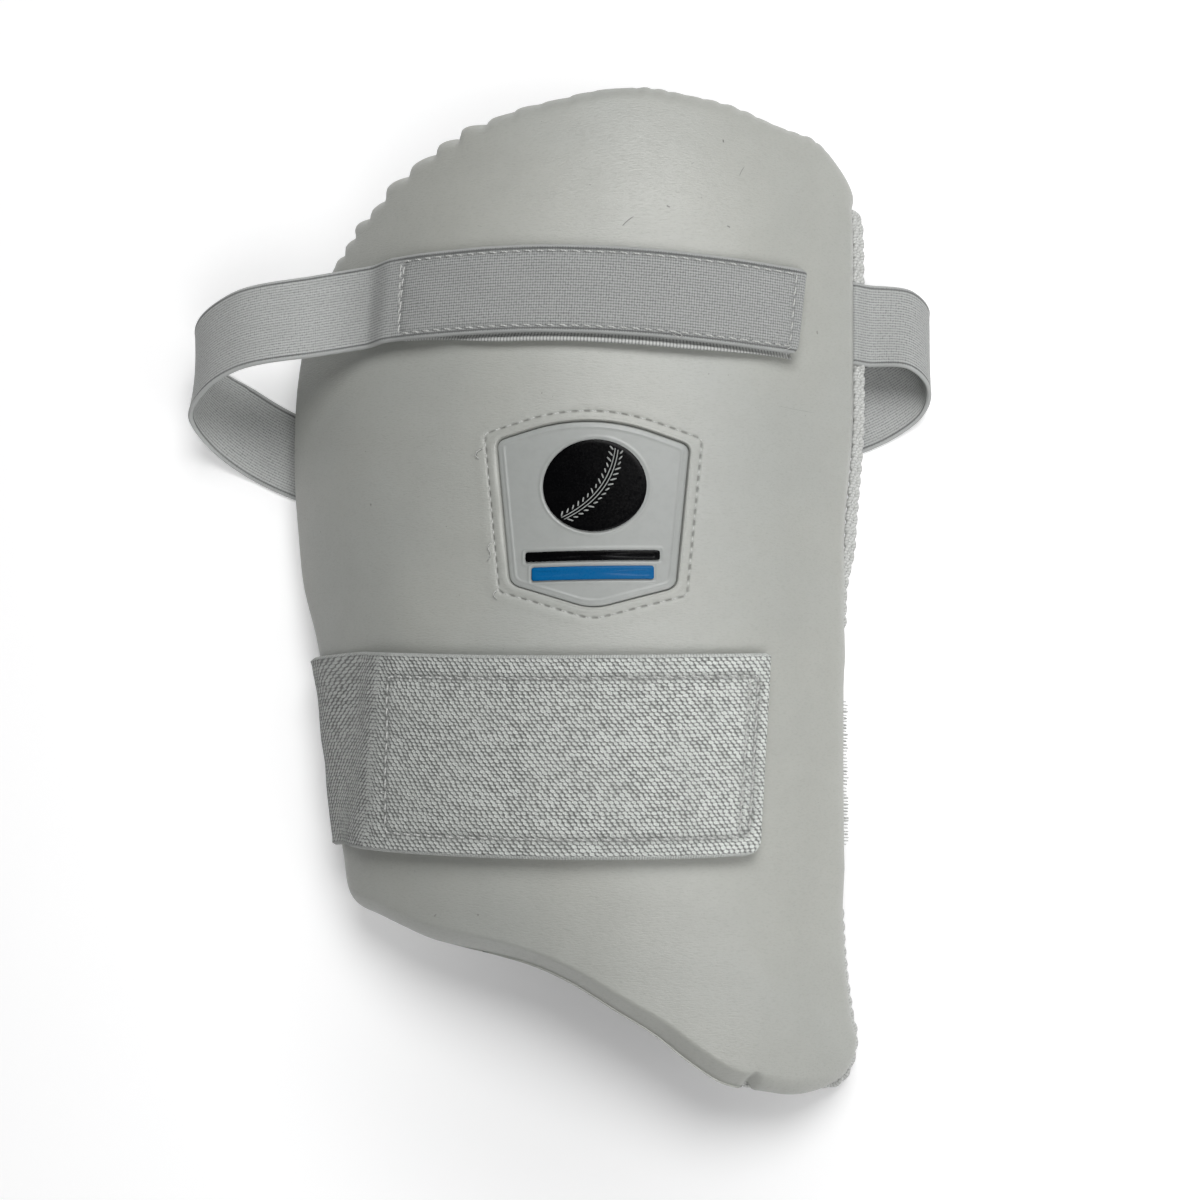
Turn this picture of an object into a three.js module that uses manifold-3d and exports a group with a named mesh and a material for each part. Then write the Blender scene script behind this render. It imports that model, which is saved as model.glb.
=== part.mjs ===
import * as THREE from "three";
import Module from "manifold-3d";

// Cricket thigh guard lying face up. Millimetres, +Z up, +Y towards the waist end, +X to the right.
// A padded leg plate bent across its width, with a narrow waist strap and a wide thigh strap.
// Both straps are sewn at the right edge, run under the pad, come round its left edge and close on the face.

// Pad
const PAD_GIRTH = 239;
const PAD_LENGTH = 375;
const BEND_RADIUS = 160;
const BEND_EASES_AT = 0.523 * PAD_GIRTH;
const BEND_RISE = PAD_GIRTH ** 2 / (8 * BEND_RADIUS);
const RIGHT_TWIST = 0.2;
const PAD_THICK = 20;
const RIM_THICK = 11;
const RIM_ROLL = 7;
const SWELL_WIDTH = 0.26 * PAD_GIRTH;
const LINING_THICK = 1.5;
const SEAM_WIDTH = 4;
const SEAM_THICK = 2.8;
const SEAM_TUCK = 4.5;
const GAP = 0.3;
const STACK_GAP = 0.6;
const STRAP_GAP = 0.9;

// Straps and patches
const WAIST_WIDTH = 33;
const WAIST_THICK = 1.8;
const THIGH_WIDTH = 73;
const THIGH_THICK = 2.4;
const TAPE_THICK = 1.2;
const WAIST_LEFT_REACH = 49;
const WAIST_RIGHT_REACH = 31;

// Badge
const WINDOW_DEPTH = 2.2;
const PLATE_THICK = 1.2;
const MOTIF_THICK = 0.7;
const BALL_RADIUS = 17;

// Height of the back surface along the middle line: [share of the length from the middle, share of the bend's rise].
const CREST = [
  [-0.7, 0.822],
  [-0.49, 0.9],
  [-0.27, 1.005],
  [0, 1.132],
  [0.21, 1.244],
  [0.53, 1.39],
  [0.7, 1.457],
];

// Pad outline, clockwise from the top of the dome: [share of girth across, share of length along].
const OUTLINE = [
  [0.1, 0.5187],
  [0.172, 0.5133],
  [0.238, 0.504],
  [0.31, 0.4907],
  [0.374, 0.48],
  [0.41, 0.464],
  [0.432, 0.444],
  [0.442, 0.416],
  [0.442, 0.336],
  [0.439, 0.248],
  [0.435, 0.155],
  [0.427, 0.06],
  [0.42, -0.03],
  [0.416, -0.12],
  [0.414, -0.22],
  [0.415, -0.3],
  [0.419, -0.36],
  [0.43, -0.41],
  [0.438, -0.43],
  [0.432, -0.452],
  [0.412, -0.47],
  [0.375, -0.4793],
  [0.32, -0.484],
  [0.265, -0.4793],
  [0.205, -0.472],
  [0.155, -0.452],
  [0.1, -0.424],
  [0.045, -0.402],
  [-0.02, -0.376],
  [-0.075, -0.36],
  [-0.135, -0.349],
  [-0.2, -0.34],
  [-0.275, -0.33],
  [-0.345, -0.308],
  [-0.396, -0.284],
  [-0.42, -0.25],
  [-0.437, -0.19],
  [-0.452, -0.13],
  [-0.468, -0.075],
  [-0.49, -0.02],
  [-0.518, 0.035],
  [-0.534, 0.095],
  [-0.545, 0.155],
  [-0.546, 0.21],
  [-0.539, 0.26],
  [-0.52, 0.305],
  [-0.485, 0.345],
  [-0.443, 0.38],
  [-0.392, 0.413],
  [-0.33, 0.442],
  [-0.262, 0.466],
  [-0.19, 0.486],
  [-0.115, 0.5],
  [-0.03, 0.51],
  [0.035, 0.5173],
];
const OUTLINE_STATIONS = 88;
const PAD_CENTRE = [-0.03, 0.02];

const smooth = (t) => {
  const c = Math.min(1, Math.max(0, t));
  return c * c * (3 - 2 * c);
};
const mix = (a, b, t) => a + (b - a) * t;
const vec = (x, y, z) => new THREE.Vector3(x, y, z);

// Smooth curve through a table of [position, value] rows.
const tableCurve = (rows) => (x) => {
  const last = rows.length - 1;
  let i = 0;
  while (i < last - 1 && x > rows[i + 1][0]) i += 1;
  const slope = (k) =>
    k <= 0
      ? (rows[1][1] - rows[0][1]) / (rows[1][0] - rows[0][0])
      : k >= last
        ? (rows[last][1] - rows[last - 1][1]) / (rows[last][0] - rows[last - 1][0])
        : (rows[k + 1][1] - rows[k - 1][1]) / (rows[k + 1][0] - rows[k - 1][0]);
  const h = rows[i + 1][0] - rows[i][0];
  const t = (x - rows[i][0]) / h;
  if (t < 0) return rows[0][1] + slope(0) * (x - rows[0][0]);
  if (t > 1) return rows[last][1] + slope(last) * (x - rows[last][0]);
  const t2 = t * t;
  const t3 = t2 * t;
  return (
    (2 * t3 - 3 * t2 + 1) * rows[i][1] +
    (t3 - 2 * t2 + t) * h * slope(i) +
    (3 * t2 - 2 * t3) * rows[i + 1][1] +
    (t3 - t2) * h * slope(i + 1)
  );
};
const crestShare = tableCurve(CREST);
const crest = (v) => BEND_RISE * crestShare(v / PAD_LENGTH);
const crestSlope = (v) => (crest(v + 1) - crest(v - 1)) / 2;

// Lean of the back surface, in radians, at u across and v along. Positive leans to the right.
const lean = (u, v) => {
  const bend = u / BEND_RADIUS / Math.pow(1 + Math.pow(Math.abs(u) / BEND_EASES_AT, 4), 0.25);
  const tail = smooth(0.27 - v / PAD_LENGTH);
  return u > 0 ? bend * (1 + RIGHT_TWIST * tail) : bend;
};

// Point at u across, v along and n out from the back surface.
const LEAN_STEPS = 16;
const place = (u, v, n) => {
  let x = 0;
  let drop = 0;
  for (let k = 0; k < LEAN_STEPS; k += 1) {
    const a = lean((u * (k + 0.5)) / LEAN_STEPS, v);
    x += (Math.cos(a) * u) / LEAN_STEPS;
    drop += (Math.sin(a) * u) / LEAN_STEPS;
  }
  const a = lean(u, v);
  const s = crestSlope(v);
  const normal = new THREE.Vector3(Math.sin(a), 0, Math.cos(a));
  const along = new THREE.Vector3(0, 1, s).normalize();
  normal.addScaledVector(along, -normal.dot(along)).normalize();
  return vec(x, v, crest(v) - drop).addScaledVector(normal, n);
};

// Closed pad outline in mm, evenly spaced.
const outlineCurve = new THREE.CatmullRomCurve3(
  OUTLINE.map(([a, b]) => new THREE.Vector3(a * PAD_GIRTH, b * PAD_LENGTH, 0)),
  true,
  "centripetal",
);
const outline = outlineCurve
  .getSpacedPoints(OUTLINE_STATIONS)
  .slice(0, OUTLINE_STATIONS)
  .map((p) => [p.x, p.y]);
const centre = [PAD_CENTRE[0] * PAD_GIRTH, PAD_CENTRE[1] * PAD_LENGTH];

// Inward direction at each outline station.
const inward = outline.map((_, i) => {
  const a = outline[(i + OUTLINE_STATIONS - 1) % OUTLINE_STATIONS];
  const b = outline[(i + 1) % OUTLINE_STATIONS];
  const l = Math.hypot(b[0] - a[0], b[1] - a[1]);
  return [(b[1] - a[1]) / l, -(b[0] - a[0]) / l];
});

// Distance from a point to the outline, zero outside it.
const depthInside = (u, v) => {
  let best = Infinity;
  let inside = false;
  for (let i = 0; i < OUTLINE_STATIONS; i += 1) {
    const [ax, ay] = outline[i];
    const [bx, by] = outline[(i + 1) % OUTLINE_STATIONS];
    const dx = bx - ax;
    const dy = by - ay;
    const t = Math.min(1, Math.max(0, ((u - ax) * dx + (v - ay) * dy) / (dx * dx + dy * dy)));
    best = Math.min(best, Math.hypot(u - ax - t * dx, v - ay - t * dy));
    if (ay > v !== by > v && u < ax + ((v - ay) / dy) * dx) inside = !inside;
  }
  return inside ? best : 0;
};

// Height of the face over the back surface at a distance in from the rim.
const swell = (d) => {
  const full = RIM_THICK + (PAD_THICK - RIM_THICK) * Math.sin((Math.PI / 2) * Math.min(1, d / SWELL_WIDTH));
  if (d >= RIM_ROLL) return full;
  const t = 1 - d / RIM_ROLL;
  return full * mix(0.45, 1, Math.sqrt(Math.max(0, 1 - t * t)));
};
const face = (u, v) => swell(depthInside(u, v));

// Outline u on the left or right side at a given v.
const sideAt = (v, side) => {
  let best = 0;
  for (let i = 0; i < OUTLINE_STATIONS; i += 1) {
    const [ax, ay] = outline[i];
    const [bx, by] = outline[(i + 1) % OUTLINE_STATIONS];
    if (ay > v === by > v) continue;
    const u = ax + ((v - ay) / (by - ay)) * (bx - ax);
    if (u * side > best * side) best = u;
  }
  return best;
};

// Mesh from a list of points and triangles.
const mesh = (name, points, triangles) => {
  const g = new THREE.BufferGeometry();
  g.setAttribute("position", new THREE.Float32BufferAttribute(points.flatMap((p) => [p.x, p.y, p.z]), 3));
  g.setIndex(triangles.flat());
  const m = new THREE.Mesh(g, new THREE.MeshStandardMaterial());
  m.name = name;
  return m;
};

// Closed skin over rings of points, each ring closed, with one point capping each end.
// Quads are split the same way on both sides of a skin, so that facing skins stay parallel.
const ringSkin = (name, rings, first, last) => {
  const girth = rings.map((ring) => ring.reduce((sum, p) => sum + p.distanceTo(first), 0));
  const count = rings[0].length;
  const points = [first, ...rings.flat(), last];
  const at = (r, i) => 1 + r * count + (i % count);
  const triangles = [];
  for (let i = 0; i < count; i += 1) {
    triangles.push([0, at(0, i), at(0, i + 1)]);
    triangles.push([points.length - 1, at(rings.length - 1, i + 1), at(rings.length - 1, i)]);
    for (let r = 0; r + 1 < rings.length; r += 1) {
      const [a, b, c, d] = [at(r, i), at(r + 1, i), at(r + 1, i + 1), at(r, i + 1)];
      if (girth[r + 1] > girth[r]) triangles.push([a, b, d], [d, b, c]);
      else triangles.push([a, b, c], [a, c, d]);
    }
  }
  return mesh(name, points, triangles);
};

// Ring of uv points: a distance in from the outline, or a share of the way to the centre.
const uvRing = (inset, share) =>
  outline.map(([u, v], i) => {
    const a = [u + inward[i][0] * inset, v + inward[i][1] * inset];
    return [mix(a[0], centre[0], share), mix(a[1], centre[1], share)];
  });

const RIM_RINGS = [0, 0.6, 2.6, RIM_ROLL];
const INNER_SHARES = [0.09, 0.19, 0.31, 0.45, 0.6, 0.78];
const BACK_INSET = 2;
const BACK_SHARES = [0, 0.18, 0.4, 0.68];

// How far the back edge and its seam sit in under the rim: fully on the left, top and tail, not on the right.
const tuck = outline.map(([u]) => SEAM_TUCK * (1 - smooth((u / PAD_GIRTH - 0.33) / 0.08)));
const tucked = (inset, share) =>
  outline.map(([u, v], i) => {
    const d = inset + tuck[i];
    return [mix(u + inward[i][0] * d, centre[0], share), mix(v + inward[i][1] * d, centre[1], share)];
  });

const liftRing = (ring, height) => ring.map(([u, v]) => place(u, v, height(u, v)));

const faceRings = [
  ...RIM_RINGS.map((d) => liftRing(uvRing(d, 0), () => swell(d))),
  ...INNER_SHARES.map((s) => liftRing(uvRing(RIM_ROLL, s), face)),
];
const backRings = BACK_SHARES.map((s) => liftRing(tucked(BACK_INSET, s), () => 0));
const padRings = [...backRings.slice().reverse(), liftRing(tucked(0.2, 0), () => 1.6), ...faceRings];
const padBody = ringSkin(
  "face_pad",
  padRings,
  place(centre[0], centre[1], 0),
  place(centre[0], centre[1], face(...centre)),
);

const liningRings = (n) => BACK_SHARES.map((s) => liftRing(tucked(BACK_INSET, s), () => n));
const liningTop = -GAP;
const liningBottom = -GAP - LINING_THICK;
const liningEdge = (n) => liftRing(tucked(0, 0), () => n);
const lining = ringSkin(
  "back_lining",
  [
    ...liningRings(liningBottom).reverse(),
    liningEdge(liningBottom),
    liningEdge(liningTop),
    ...liningRings(liningTop),
  ],
  place(centre[0], centre[1], liningBottom),
  place(centre[0], centre[1], liningTop),
);

// Seam: a cord of overcast thread run round the whole outline.
const SEAM_SIDES = 6;
const SEAM_LIFT = -0.3;
const seamPoints = [];
const seamTriangles = [];
for (let i = 0; i < OUTLINE_STATIONS; i += 1) {
  for (let k = 0; k < SEAM_SIDES; k += 1) {
    const a = (2 * Math.PI * (k + 0.5)) / SEAM_SIDES;
    const d = tuck[i] - GAP - SEAM_WIDTH / 2 + (Math.cos(a) * SEAM_WIDTH) / 2;
    const [u, v] = [outline[i][0] + inward[i][0] * d, outline[i][1] + inward[i][1] * d];
    seamPoints.push(place(u, v, SEAM_LIFT + (Math.sin(a) * SEAM_THICK) / 2));
    const j = (i + 1) % OUTLINE_STATIONS;
    const m = (k + 1) % SEAM_SIDES;
    const q = [i * SEAM_SIDES + k, j * SEAM_SIDES + k, j * SEAM_SIDES + m, i * SEAM_SIDES + m];
    seamTriangles.push([q[0], q[1], q[2]], [q[0], q[2], q[3]]);
  }
}
const seam = mesh("edge_seam", seamPoints, seamTriangles);

// Closed slab from a lower and an upper grid of points, rows by columns.
const slab = (name, lower, upper) => {
  const rows = lower.length;
  const cols = lower[0].length;
  const points = [...lower.flat(), ...upper.flat()];
  const lo = (i, j) => i * cols + j;
  const up = (i, j) => rows * cols + i * cols + j;
  const triangles = [];
  const quad = (a, b, c, d) => triangles.push([a, b, c], [a, c, d]);
  for (let i = 0; i + 1 < rows; i += 1) {
    for (let j = 0; j + 1 < cols; j += 1) {
      quad(lo(i, j), lo(i, j + 1), lo(i + 1, j + 1), lo(i + 1, j));
      quad(up(i, j), up(i + 1, j), up(i + 1, j + 1), up(i, j + 1));
    }
    quad(lo(i, 0), lo(i + 1, 0), up(i + 1, 0), up(i, 0));
    quad(lo(i + 1, cols - 1), lo(i, cols - 1), up(i, cols - 1), up(i + 1, cols - 1));
  }
  for (let j = 0; j + 1 < cols; j += 1) {
    quad(lo(0, j + 1), lo(0, j), up(0, j), up(0, j + 1));
    quad(lo(rows - 1, j), lo(rows - 1, j + 1), up(rows - 1, j + 1), up(rows - 1, j));
  }
  return mesh(name, points, triangles);
};

// Front runs of the straps in uv: middle line, and slant of the rows across it.
const waistMiddle = (u) => 0.294 * PAD_LENGTH - 0.05 * u;
const thighMiddle = (u) => -0.158 * PAD_LENGTH + 0.00068 * (u - 10) ** 2;
const waistSlant = () => 0.06;
const thighSlant = (u) => mix(-0.00136 * (u - 10), 0.09, smooth((u - 5) / 50));
const onFace = (middle, slant, u, w) => [u + slant(u) * w, middle(u) + w];

// Tape sewn on the face or under a strap, from u0 to u1 and w0 to w1 across the strap's middle line.
const TAPE_STEP = 14;
const tape = (name, middle, slant, [u0, u1], [w0, w1], low) => {
  const rows = Math.ceil((u1 - u0) / TAPE_STEP);
  const cols = Math.ceil((w1 - w0) / TAPE_STEP);
  const grid = (n) =>
    Array.from({ length: rows + 1 }, (_, i) =>
      Array.from({ length: cols + 1 }, (_, j) => {
        const [u, v] = onFace(middle, slant, mix(u0, u1, i / rows), mix(w0, w1, j / cols));
        return place(u, v, face(u, v) + n);
      }),
    );
  return slab(name, grid(low), grid(low + TAPE_THICK));
};
const loopLow = STACK_GAP + 0.1;
const hookLow = loopLow + TAPE_THICK + STACK_GAP;
const strapLow = hookLow + TAPE_THICK + STRAP_GAP;

const WAIST_END = 0.32 * PAD_GIRTH;
const WAIST_TAPE = [-0.25 * PAD_GIRTH, WAIST_END - 3];
const THIGH_END = 0.246 * PAD_GIRTH;
const THIGH_TAPE = [-0.28 * PAD_GIRTH, THIGH_END - 4];
const waistLoop = tape(
  "waist_loop_patch",
  waistMiddle,
  waistSlant,
  [WAIST_TAPE[0], WAIST_TAPE[1]],
  [-WAIST_WIDTH / 2 - 4, WAIST_WIDTH / 2 + 1],
  loopLow,
);
const waistHook = tape(
  "waist_hook_patch",
  waistMiddle,
  waistSlant,
  [WAIST_TAPE[0] + 2, WAIST_TAPE[1]],
  [-WAIST_WIDTH / 2 + 2, WAIST_WIDTH / 2 - 2],
  hookLow,
);
const thighLoop = tape(
  "thigh_loop_patch",
  thighMiddle,
  thighSlant,
  [THIGH_TAPE[0] + 4, THIGH_TAPE[1] - 2],
  [-THIGH_WIDTH / 2 + 3, THIGH_WIDTH / 2 - 3],
  loopLow,
);
const thighHook = tape(
  "thigh_hook_patch",
  thighMiddle,
  thighSlant,
  [THIGH_TAPE[0] + 3, THIGH_TAPE[1]],
  [-THIGH_WIDTH / 2 + 5, THIGH_WIDTH / 2 - 5],
  hookLow,
);

// Strap from key rows of points: a smooth curve down each column, then an even thickness both sides.
// Rows stand closer together where the strap bends.
const STRAP_STEP = 14;
const STRAP_TURN = 0.42;
const STRAP_SAMPLES = 600;
const strap = (name, keys, thick) => {
  const cols = keys[0].length;
  const curves = Array.from(
    { length: cols },
    (_, j) => new THREE.CatmullRomCurve3(keys.map((row) => row[j]), false, "centripetal"),
  );
  const middle = curves[(cols - 1) / 2];
  const samples = Array.from({ length: STRAP_SAMPLES + 1 }, (_, k) => middle.getPoint(k / STRAP_SAMPLES));
  const reach = [0];
  for (let k = 1; k <= STRAP_SAMPLES; k += 1) {
    const step = samples[k].clone().sub(samples[k - 1]);
    const before = samples[k - 1].clone().sub(samples[Math.max(0, k - 2)]);
    const turn = k > 1 ? step.angleTo(before) : 0;
    reach.push(reach[k - 1] + step.length() / STRAP_STEP + turn / STRAP_TURN);
  }
  const rows = Math.round(reach[STRAP_SAMPLES]);
  const stations = Array.from({ length: rows + 1 }, (_, i) => {
    const want = (reach[STRAP_SAMPLES] * i) / rows;
    let k = 1;
    while (k < STRAP_SAMPLES && reach[k] < want) k += 1;
    return (k - 1 + Math.min(1, (want - reach[k - 1]) / (reach[k] - reach[k - 1]))) / STRAP_SAMPLES;
  });
  const grid = stations.map((t) =>
    curves.map((c) => c.getPoint(t).max(new THREE.Vector3(-Infinity, -Infinity, thick / 2))),
  );
  const normalAt = (i, j) => {
    const a = grid[Math.min(rows, i + 1)][j].clone().sub(grid[Math.max(0, i - 1)][j]);
    const b = grid[i][Math.min(cols - 1, j + 1)].clone().sub(grid[i][Math.max(0, j - 1)]);
    return a.cross(b).normalize();
  };
  const ground = new THREE.Vector3(-Infinity, -Infinity, 0);
  const shifted = (n) =>
    grid.map((row, i) => row.map((p, j) => p.clone().addScaledVector(normalAt(i, j), n).max(ground)));
  return slab(name, shifted(-thick / 2), shifted(thick / 2));
};

// Shares of a front run at which its key rows stand, from the free end.
const FACE_STEPS = Array.from({ length: 19 }, (_, i) => 1 - i / 18);

const across = (width, cols) => Array.from({ length: cols }, (_, j) => (j / (cols - 1) - 0.5) * width);

// Row of a strap that follows the face, at u along it.
const faceRow = (middle, slant, widths, u, n) =>
  widths.map((w) => {
    const [a, b] = onFace(middle, slant, u, w);
    return place(a, b, face(a, b) + n);
  });

// Row of a strap at a free point, square to its own direction.
const freeRow = (points, k, widths) => {
  const along = points[Math.min(points.length - 1, k + 1)].clone().sub(points[Math.max(0, k - 1)]).normalize();
  const side = new THREE.Vector3(0, 1, 0);
  side.addScaledVector(along, -side.dot(along)).normalize();
  return widths.map((w) => points[k].clone().addScaledVector(side, w));
};

// Row of a strap sewn into the right edge over the seam, d out from the outline and n off the back surface.
const sewnRow = (middleV, widths, d, n) =>
  widths.map((w) => {
    const v = middleV + w;
    return place(sideAt(v, 1) + d, v, n);
  });

const waistCols = across(WAIST_WIDTH, 3);
const waistRide = strapLow + WAIST_THICK / 2;
const waistOver = SEAM_LIFT + SEAM_THICK / 2 + GAP + WAIST_THICK / 2;
const waistFlat = WAIST_THICK / 2;
const waistV = waistMiddle(0);
const waistLeft = place(sideAt(waistV, -1), waistV, 0);
const waistRight = place(sideAt(waistV, 1), waistV, 0);
const leftX = waistLeft.x - WAIST_LEFT_REACH;
const rightX = waistRight.x + WAIST_RIGHT_REACH;
const shoulder = place(WAIST_TAPE[0] - 10, waistMiddle(WAIST_TAPE[0] - 10), PAD_THICK + 6);

// Middle points of the waist strap's left loop, from the pad to the ground:
// [share of the way out from the shoulder to the reach, mm towards the tail, share of the shoulder's height].
const LEFT_LOOP = [
  [0.3, 0, 0.93],
  [0.72, 2, 0.74],
  [0.94, 8, 0.51],
  [1, 16, 0.26],
  [0.89, 25, 0.077],
];
// Its run on the ground: [share of the way from the left reach to the right, mm towards the tail].
const GROUND_RUN = [
  [0.08, 35],
  [0.168, 47],
  [0.282, 55],
  [0.524, 54],
  [0.692, 45],
  [0.852, 35],
  [0.932, 26],
];
// Its right loop, up to the sewn edge: [mm in from the right reach, mm towards the tail, share of the edge's height].
const RIGHT_LOOP = [
  [6, 19, 0.18],
  [0, 12, 0.46],
  [6, 5, 0.82],
];
const waistFree = [
  ...LEFT_LOOP.map(([out, back, up]) => vec(mix(shoulder.x, leftX, out), waistV - back, shoulder.z * up)),
  ...GROUND_RUN.map(([share, back]) => vec(mix(leftX, rightX, share), waistV - back, waistFlat)),
  ...RIGHT_LOOP.map(([inside, back, up]) => vec(rightX - inside, waistV - back, waistRight.z * up)),
];
const waistKeys = [
  ...FACE_STEPS.map((t) =>
    faceRow(waistMiddle, waistSlant, waistCols, mix(WAIST_TAPE[0] - 4, WAIST_END, t), waistRide),
  ),
  ...waistFree.map((_, k) => freeRow(waistFree, k, waistCols)),
  sewnRow(waistV, waistCols, SEAM_WIDTH + 4, waistOver),
  sewnRow(waistV, waistCols, SEAM_WIDTH / 2, waistOver),
  sewnRow(waistV, waistCols, GAP, waistOver),
];
const waistStrap = strap("waist_strap", waistKeys, WAIST_THICK);

const thighCols = across(THIGH_WIDTH, 7);
const thighRide = strapLow + THIGH_THICK / 2;
const thighLoose = THIGH_THICK / 2 + 4 * GAP;
const thighOver = SEAM_LIFT + SEAM_THICK / 2 + GAP + THIGH_THICK / 2;
const thighFlat = THIGH_THICK / 2;
const thighV = thighMiddle(-0.37 * PAD_GIRTH);

// Row that wraps the left edge, d in from the outline at each column.
const wrapRow = (d, n) =>
  thighCols.map((w) => {
    const v = thighV + w;
    return place(sideAt(v, -1) + d, v, n);
  });
const groundRow = (x, y) => thighCols.map((w) => vec(x, y + w, thighFlat));
const groundUnder = (side, d) =>
  thighCols.map((w) => {
    const v = thighV + w;
    const p = place(sideAt(v, side) + d, v, 0);
    return vec(p.x, v, thighFlat);
  });
const loose = (u) => mix(thighLoose, thighRide, smooth((u - THIGH_TAPE[0] + 16) / 12));
const thighFaceRows = FACE_STEPS.map((t) => {
  const u = mix(THIGH_TAPE[0] - 16, THIGH_END, t);
  return faceRow(thighMiddle, thighSlant, thighCols, u, loose(u));
});
const thighKeys = [
  ...thighFaceRows,
  wrapRow(10, swell(10) + thighLoose + 0.4),
  wrapRow(3, swell(3) + thighLoose + 0.5),
  wrapRow(-2.2, RIM_THICK * 0.8),
  wrapRow(-4.8, RIM_THICK * 0.4),
  wrapRow(-SEAM_WIDTH - 2.6, -0.5),
  wrapRow(-1.5, -7),
  groundUnder(-1, 16),
  groundUnder(-1, 34),
  groundRow(-20, thighV),
  groundRow(30, thighV),
  groundUnder(1, -34),
  groundUnder(1, -12),
  sewnRow(thighV, thighCols, SEAM_WIDTH + 1, -8.5),
  sewnRow(thighV, thighCols, SEAM_WIDTH + 3.2, -2.8),
  sewnRow(thighV, thighCols, SEAM_WIDTH + 1.6, thighOver - 1),
  sewnRow(thighV, thighCols, SEAM_WIDTH / 2, thighOver + 0.3),
  sewnRow(thighV, thighCols, GAP, thighOver + 0.1),
];
const thighStrap = strap("thigh_strap", thighKeys, THIGH_THICK);

// Badge window: six corners as [share of girth, share of length].
const WINDOW = [
  [0.022, 0.172],
  [0.157, 0.147],
  [0.135, 0.006],
  [0.021, -0.015],
  [-0.095, 0.012],
  [-0.114, 0.151],
];
const windowMm = WINDOW.map(([a, b]) => [a * PAD_GIRTH, b * PAD_LENGTH]);
const windowCentre = [0.021 * PAD_GIRTH, 0.083 * PAD_LENGTH];

// Evenly spaced points round a polygon whose sides are moved in by a distance.
const SHIELD_STATIONS = 24;
const insetPolygon = (corners, inset) => {
  const sides = corners.map((a, i) => {
    const b = corners[(i + 1) % corners.length];
    const l = Math.hypot(b[0] - a[0], b[1] - a[1]);
    const n = [(b[1] - a[1]) / l, -(b[0] - a[0]) / l];
    return { p: [a[0] + n[0] * inset, a[1] + n[1] * inset], d: [(b[0] - a[0]) / l, (b[1] - a[1]) / l] };
  });
  return sides.map((s, i) => {
    const q = sides[(i + sides.length - 1) % sides.length];
    const cross = q.d[0] * s.d[1] - q.d[1] * s.d[0];
    const t = ((s.p[0] - q.p[0]) * s.d[1] - (s.p[1] - q.p[1]) * s.d[0]) / cross;
    return [q.p[0] + q.d[0] * t, q.p[1] + q.d[1] * t];
  });
};
const spread = (corners) => {
  const each = SHIELD_STATIONS / corners.length;
  return corners.flatMap((a, i) => {
    const b = corners[(i + 1) % corners.length];
    return Array.from({ length: each }, (_, k) => [mix(a[0], b[0], k / each), mix(a[1], b[1], k / each)]);
  });
};

// Plate over the face inside a ring of uv points, between two heights off the face.
const plate = (name, ring, middle, low, high) => {
  const layer = (share, n) =>
    ring.map(([u, v]) => {
      const [a, b] = [mix(u, middle[0], share), mix(v, middle[1], share)];
      return place(a, b, face(a, b) + n);
    });
  const shares = [0, 0.35, 0.7];
  const rings = [...shares.slice().reverse().map((s) => layer(s, low)), ...shares.map((s) => layer(s, high))];
  const cap = (n) => place(middle[0], middle[1], face(...middle) + n);
  return ringSkin(name, rings, cap(low), cap(high));
};
const BALL_STATIONS = 24;
const circle = (middle, r) =>
  Array.from({ length: BALL_STATIONS }, (_, i) => {
    const a = (-2 * Math.PI * i) / BALL_STATIONS;
    return [middle[0] + r * Math.cos(a), middle[1] + r * Math.sin(a)];
  });
const windowCutter = plate("window", spread(windowMm), windowCentre, -WINDOW_DEPTH, 4);
const plateLow = -WINDOW_DEPTH + GAP;
const badgePlate = plate(
  "badge_plate",
  spread(insetPolygon(windowMm, GAP)),
  windowCentre,
  plateLow,
  plateLow + PLATE_THICK,
);
const motifLow = plateLow + PLATE_THICK + GAP;
const ballMiddle = [windowCentre[0] + 1, windowCentre[1] + 9];
const ball = plate("badge_ball", circle(ballMiddle, BALL_RADIUS), ballMiddle, motifLow, motifLow + MOTIF_THICK);
const bar = (name, middleShare, half, height) => {
  const v = windowCentre[1] + middleShare * PAD_LENGTH;
  const grid = (n) =>
    Array.from({ length: 5 }, (_, i) =>
      [-height / 2, height / 2].map((w) => {
        const u = windowCentre[0] + mix(-half, half, i / 4);
        return place(u, v + w, face(u, v + w) + n);
      }),
    );
  return slab(name, grid(motifLow), grid(motifLow + MOTIF_THICK));
};
const blackBar = bar("badge_black_bar", -0.045, 22, 3.6);
const blueBar = bar("badge_blue_bar", -0.062, 20, 5);

// The window is cut from the pad.
const wasm = await Module();
wasm.setup();
const solidOf = (m) =>
  new wasm.Manifold(
    new wasm.Mesh({
      numProp: 3,
      vertProperties: new Float32Array(m.geometry.getAttribute("position").array),
      triVerts: new Uint32Array(m.geometry.index.array),
    }),
  );
const cut = solidOf(padBody).subtract(solidOf(windowCutter)).getMesh();
const padGeometry = new THREE.BufferGeometry();
padGeometry.setAttribute("position", new THREE.Float32BufferAttribute(cut.vertProperties, 3));
padGeometry.setIndex(new THREE.BufferAttribute(new Uint32Array(cut.triVerts), 1));
const facePad = new THREE.Mesh(padGeometry, new THREE.MeshStandardMaterial());
facePad.name = "face_pad";

const guard = new THREE.Group();
guard.name = "thigh_guard";
guard.add(
  facePad,
  lining,
  seam,
  waistStrap,
  waistHook,
  waistLoop,
  thighStrap,
  thighHook,
  thighLoop,
  badgePlate,
  ball,
  blackBar,
  blueBar,
);

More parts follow.
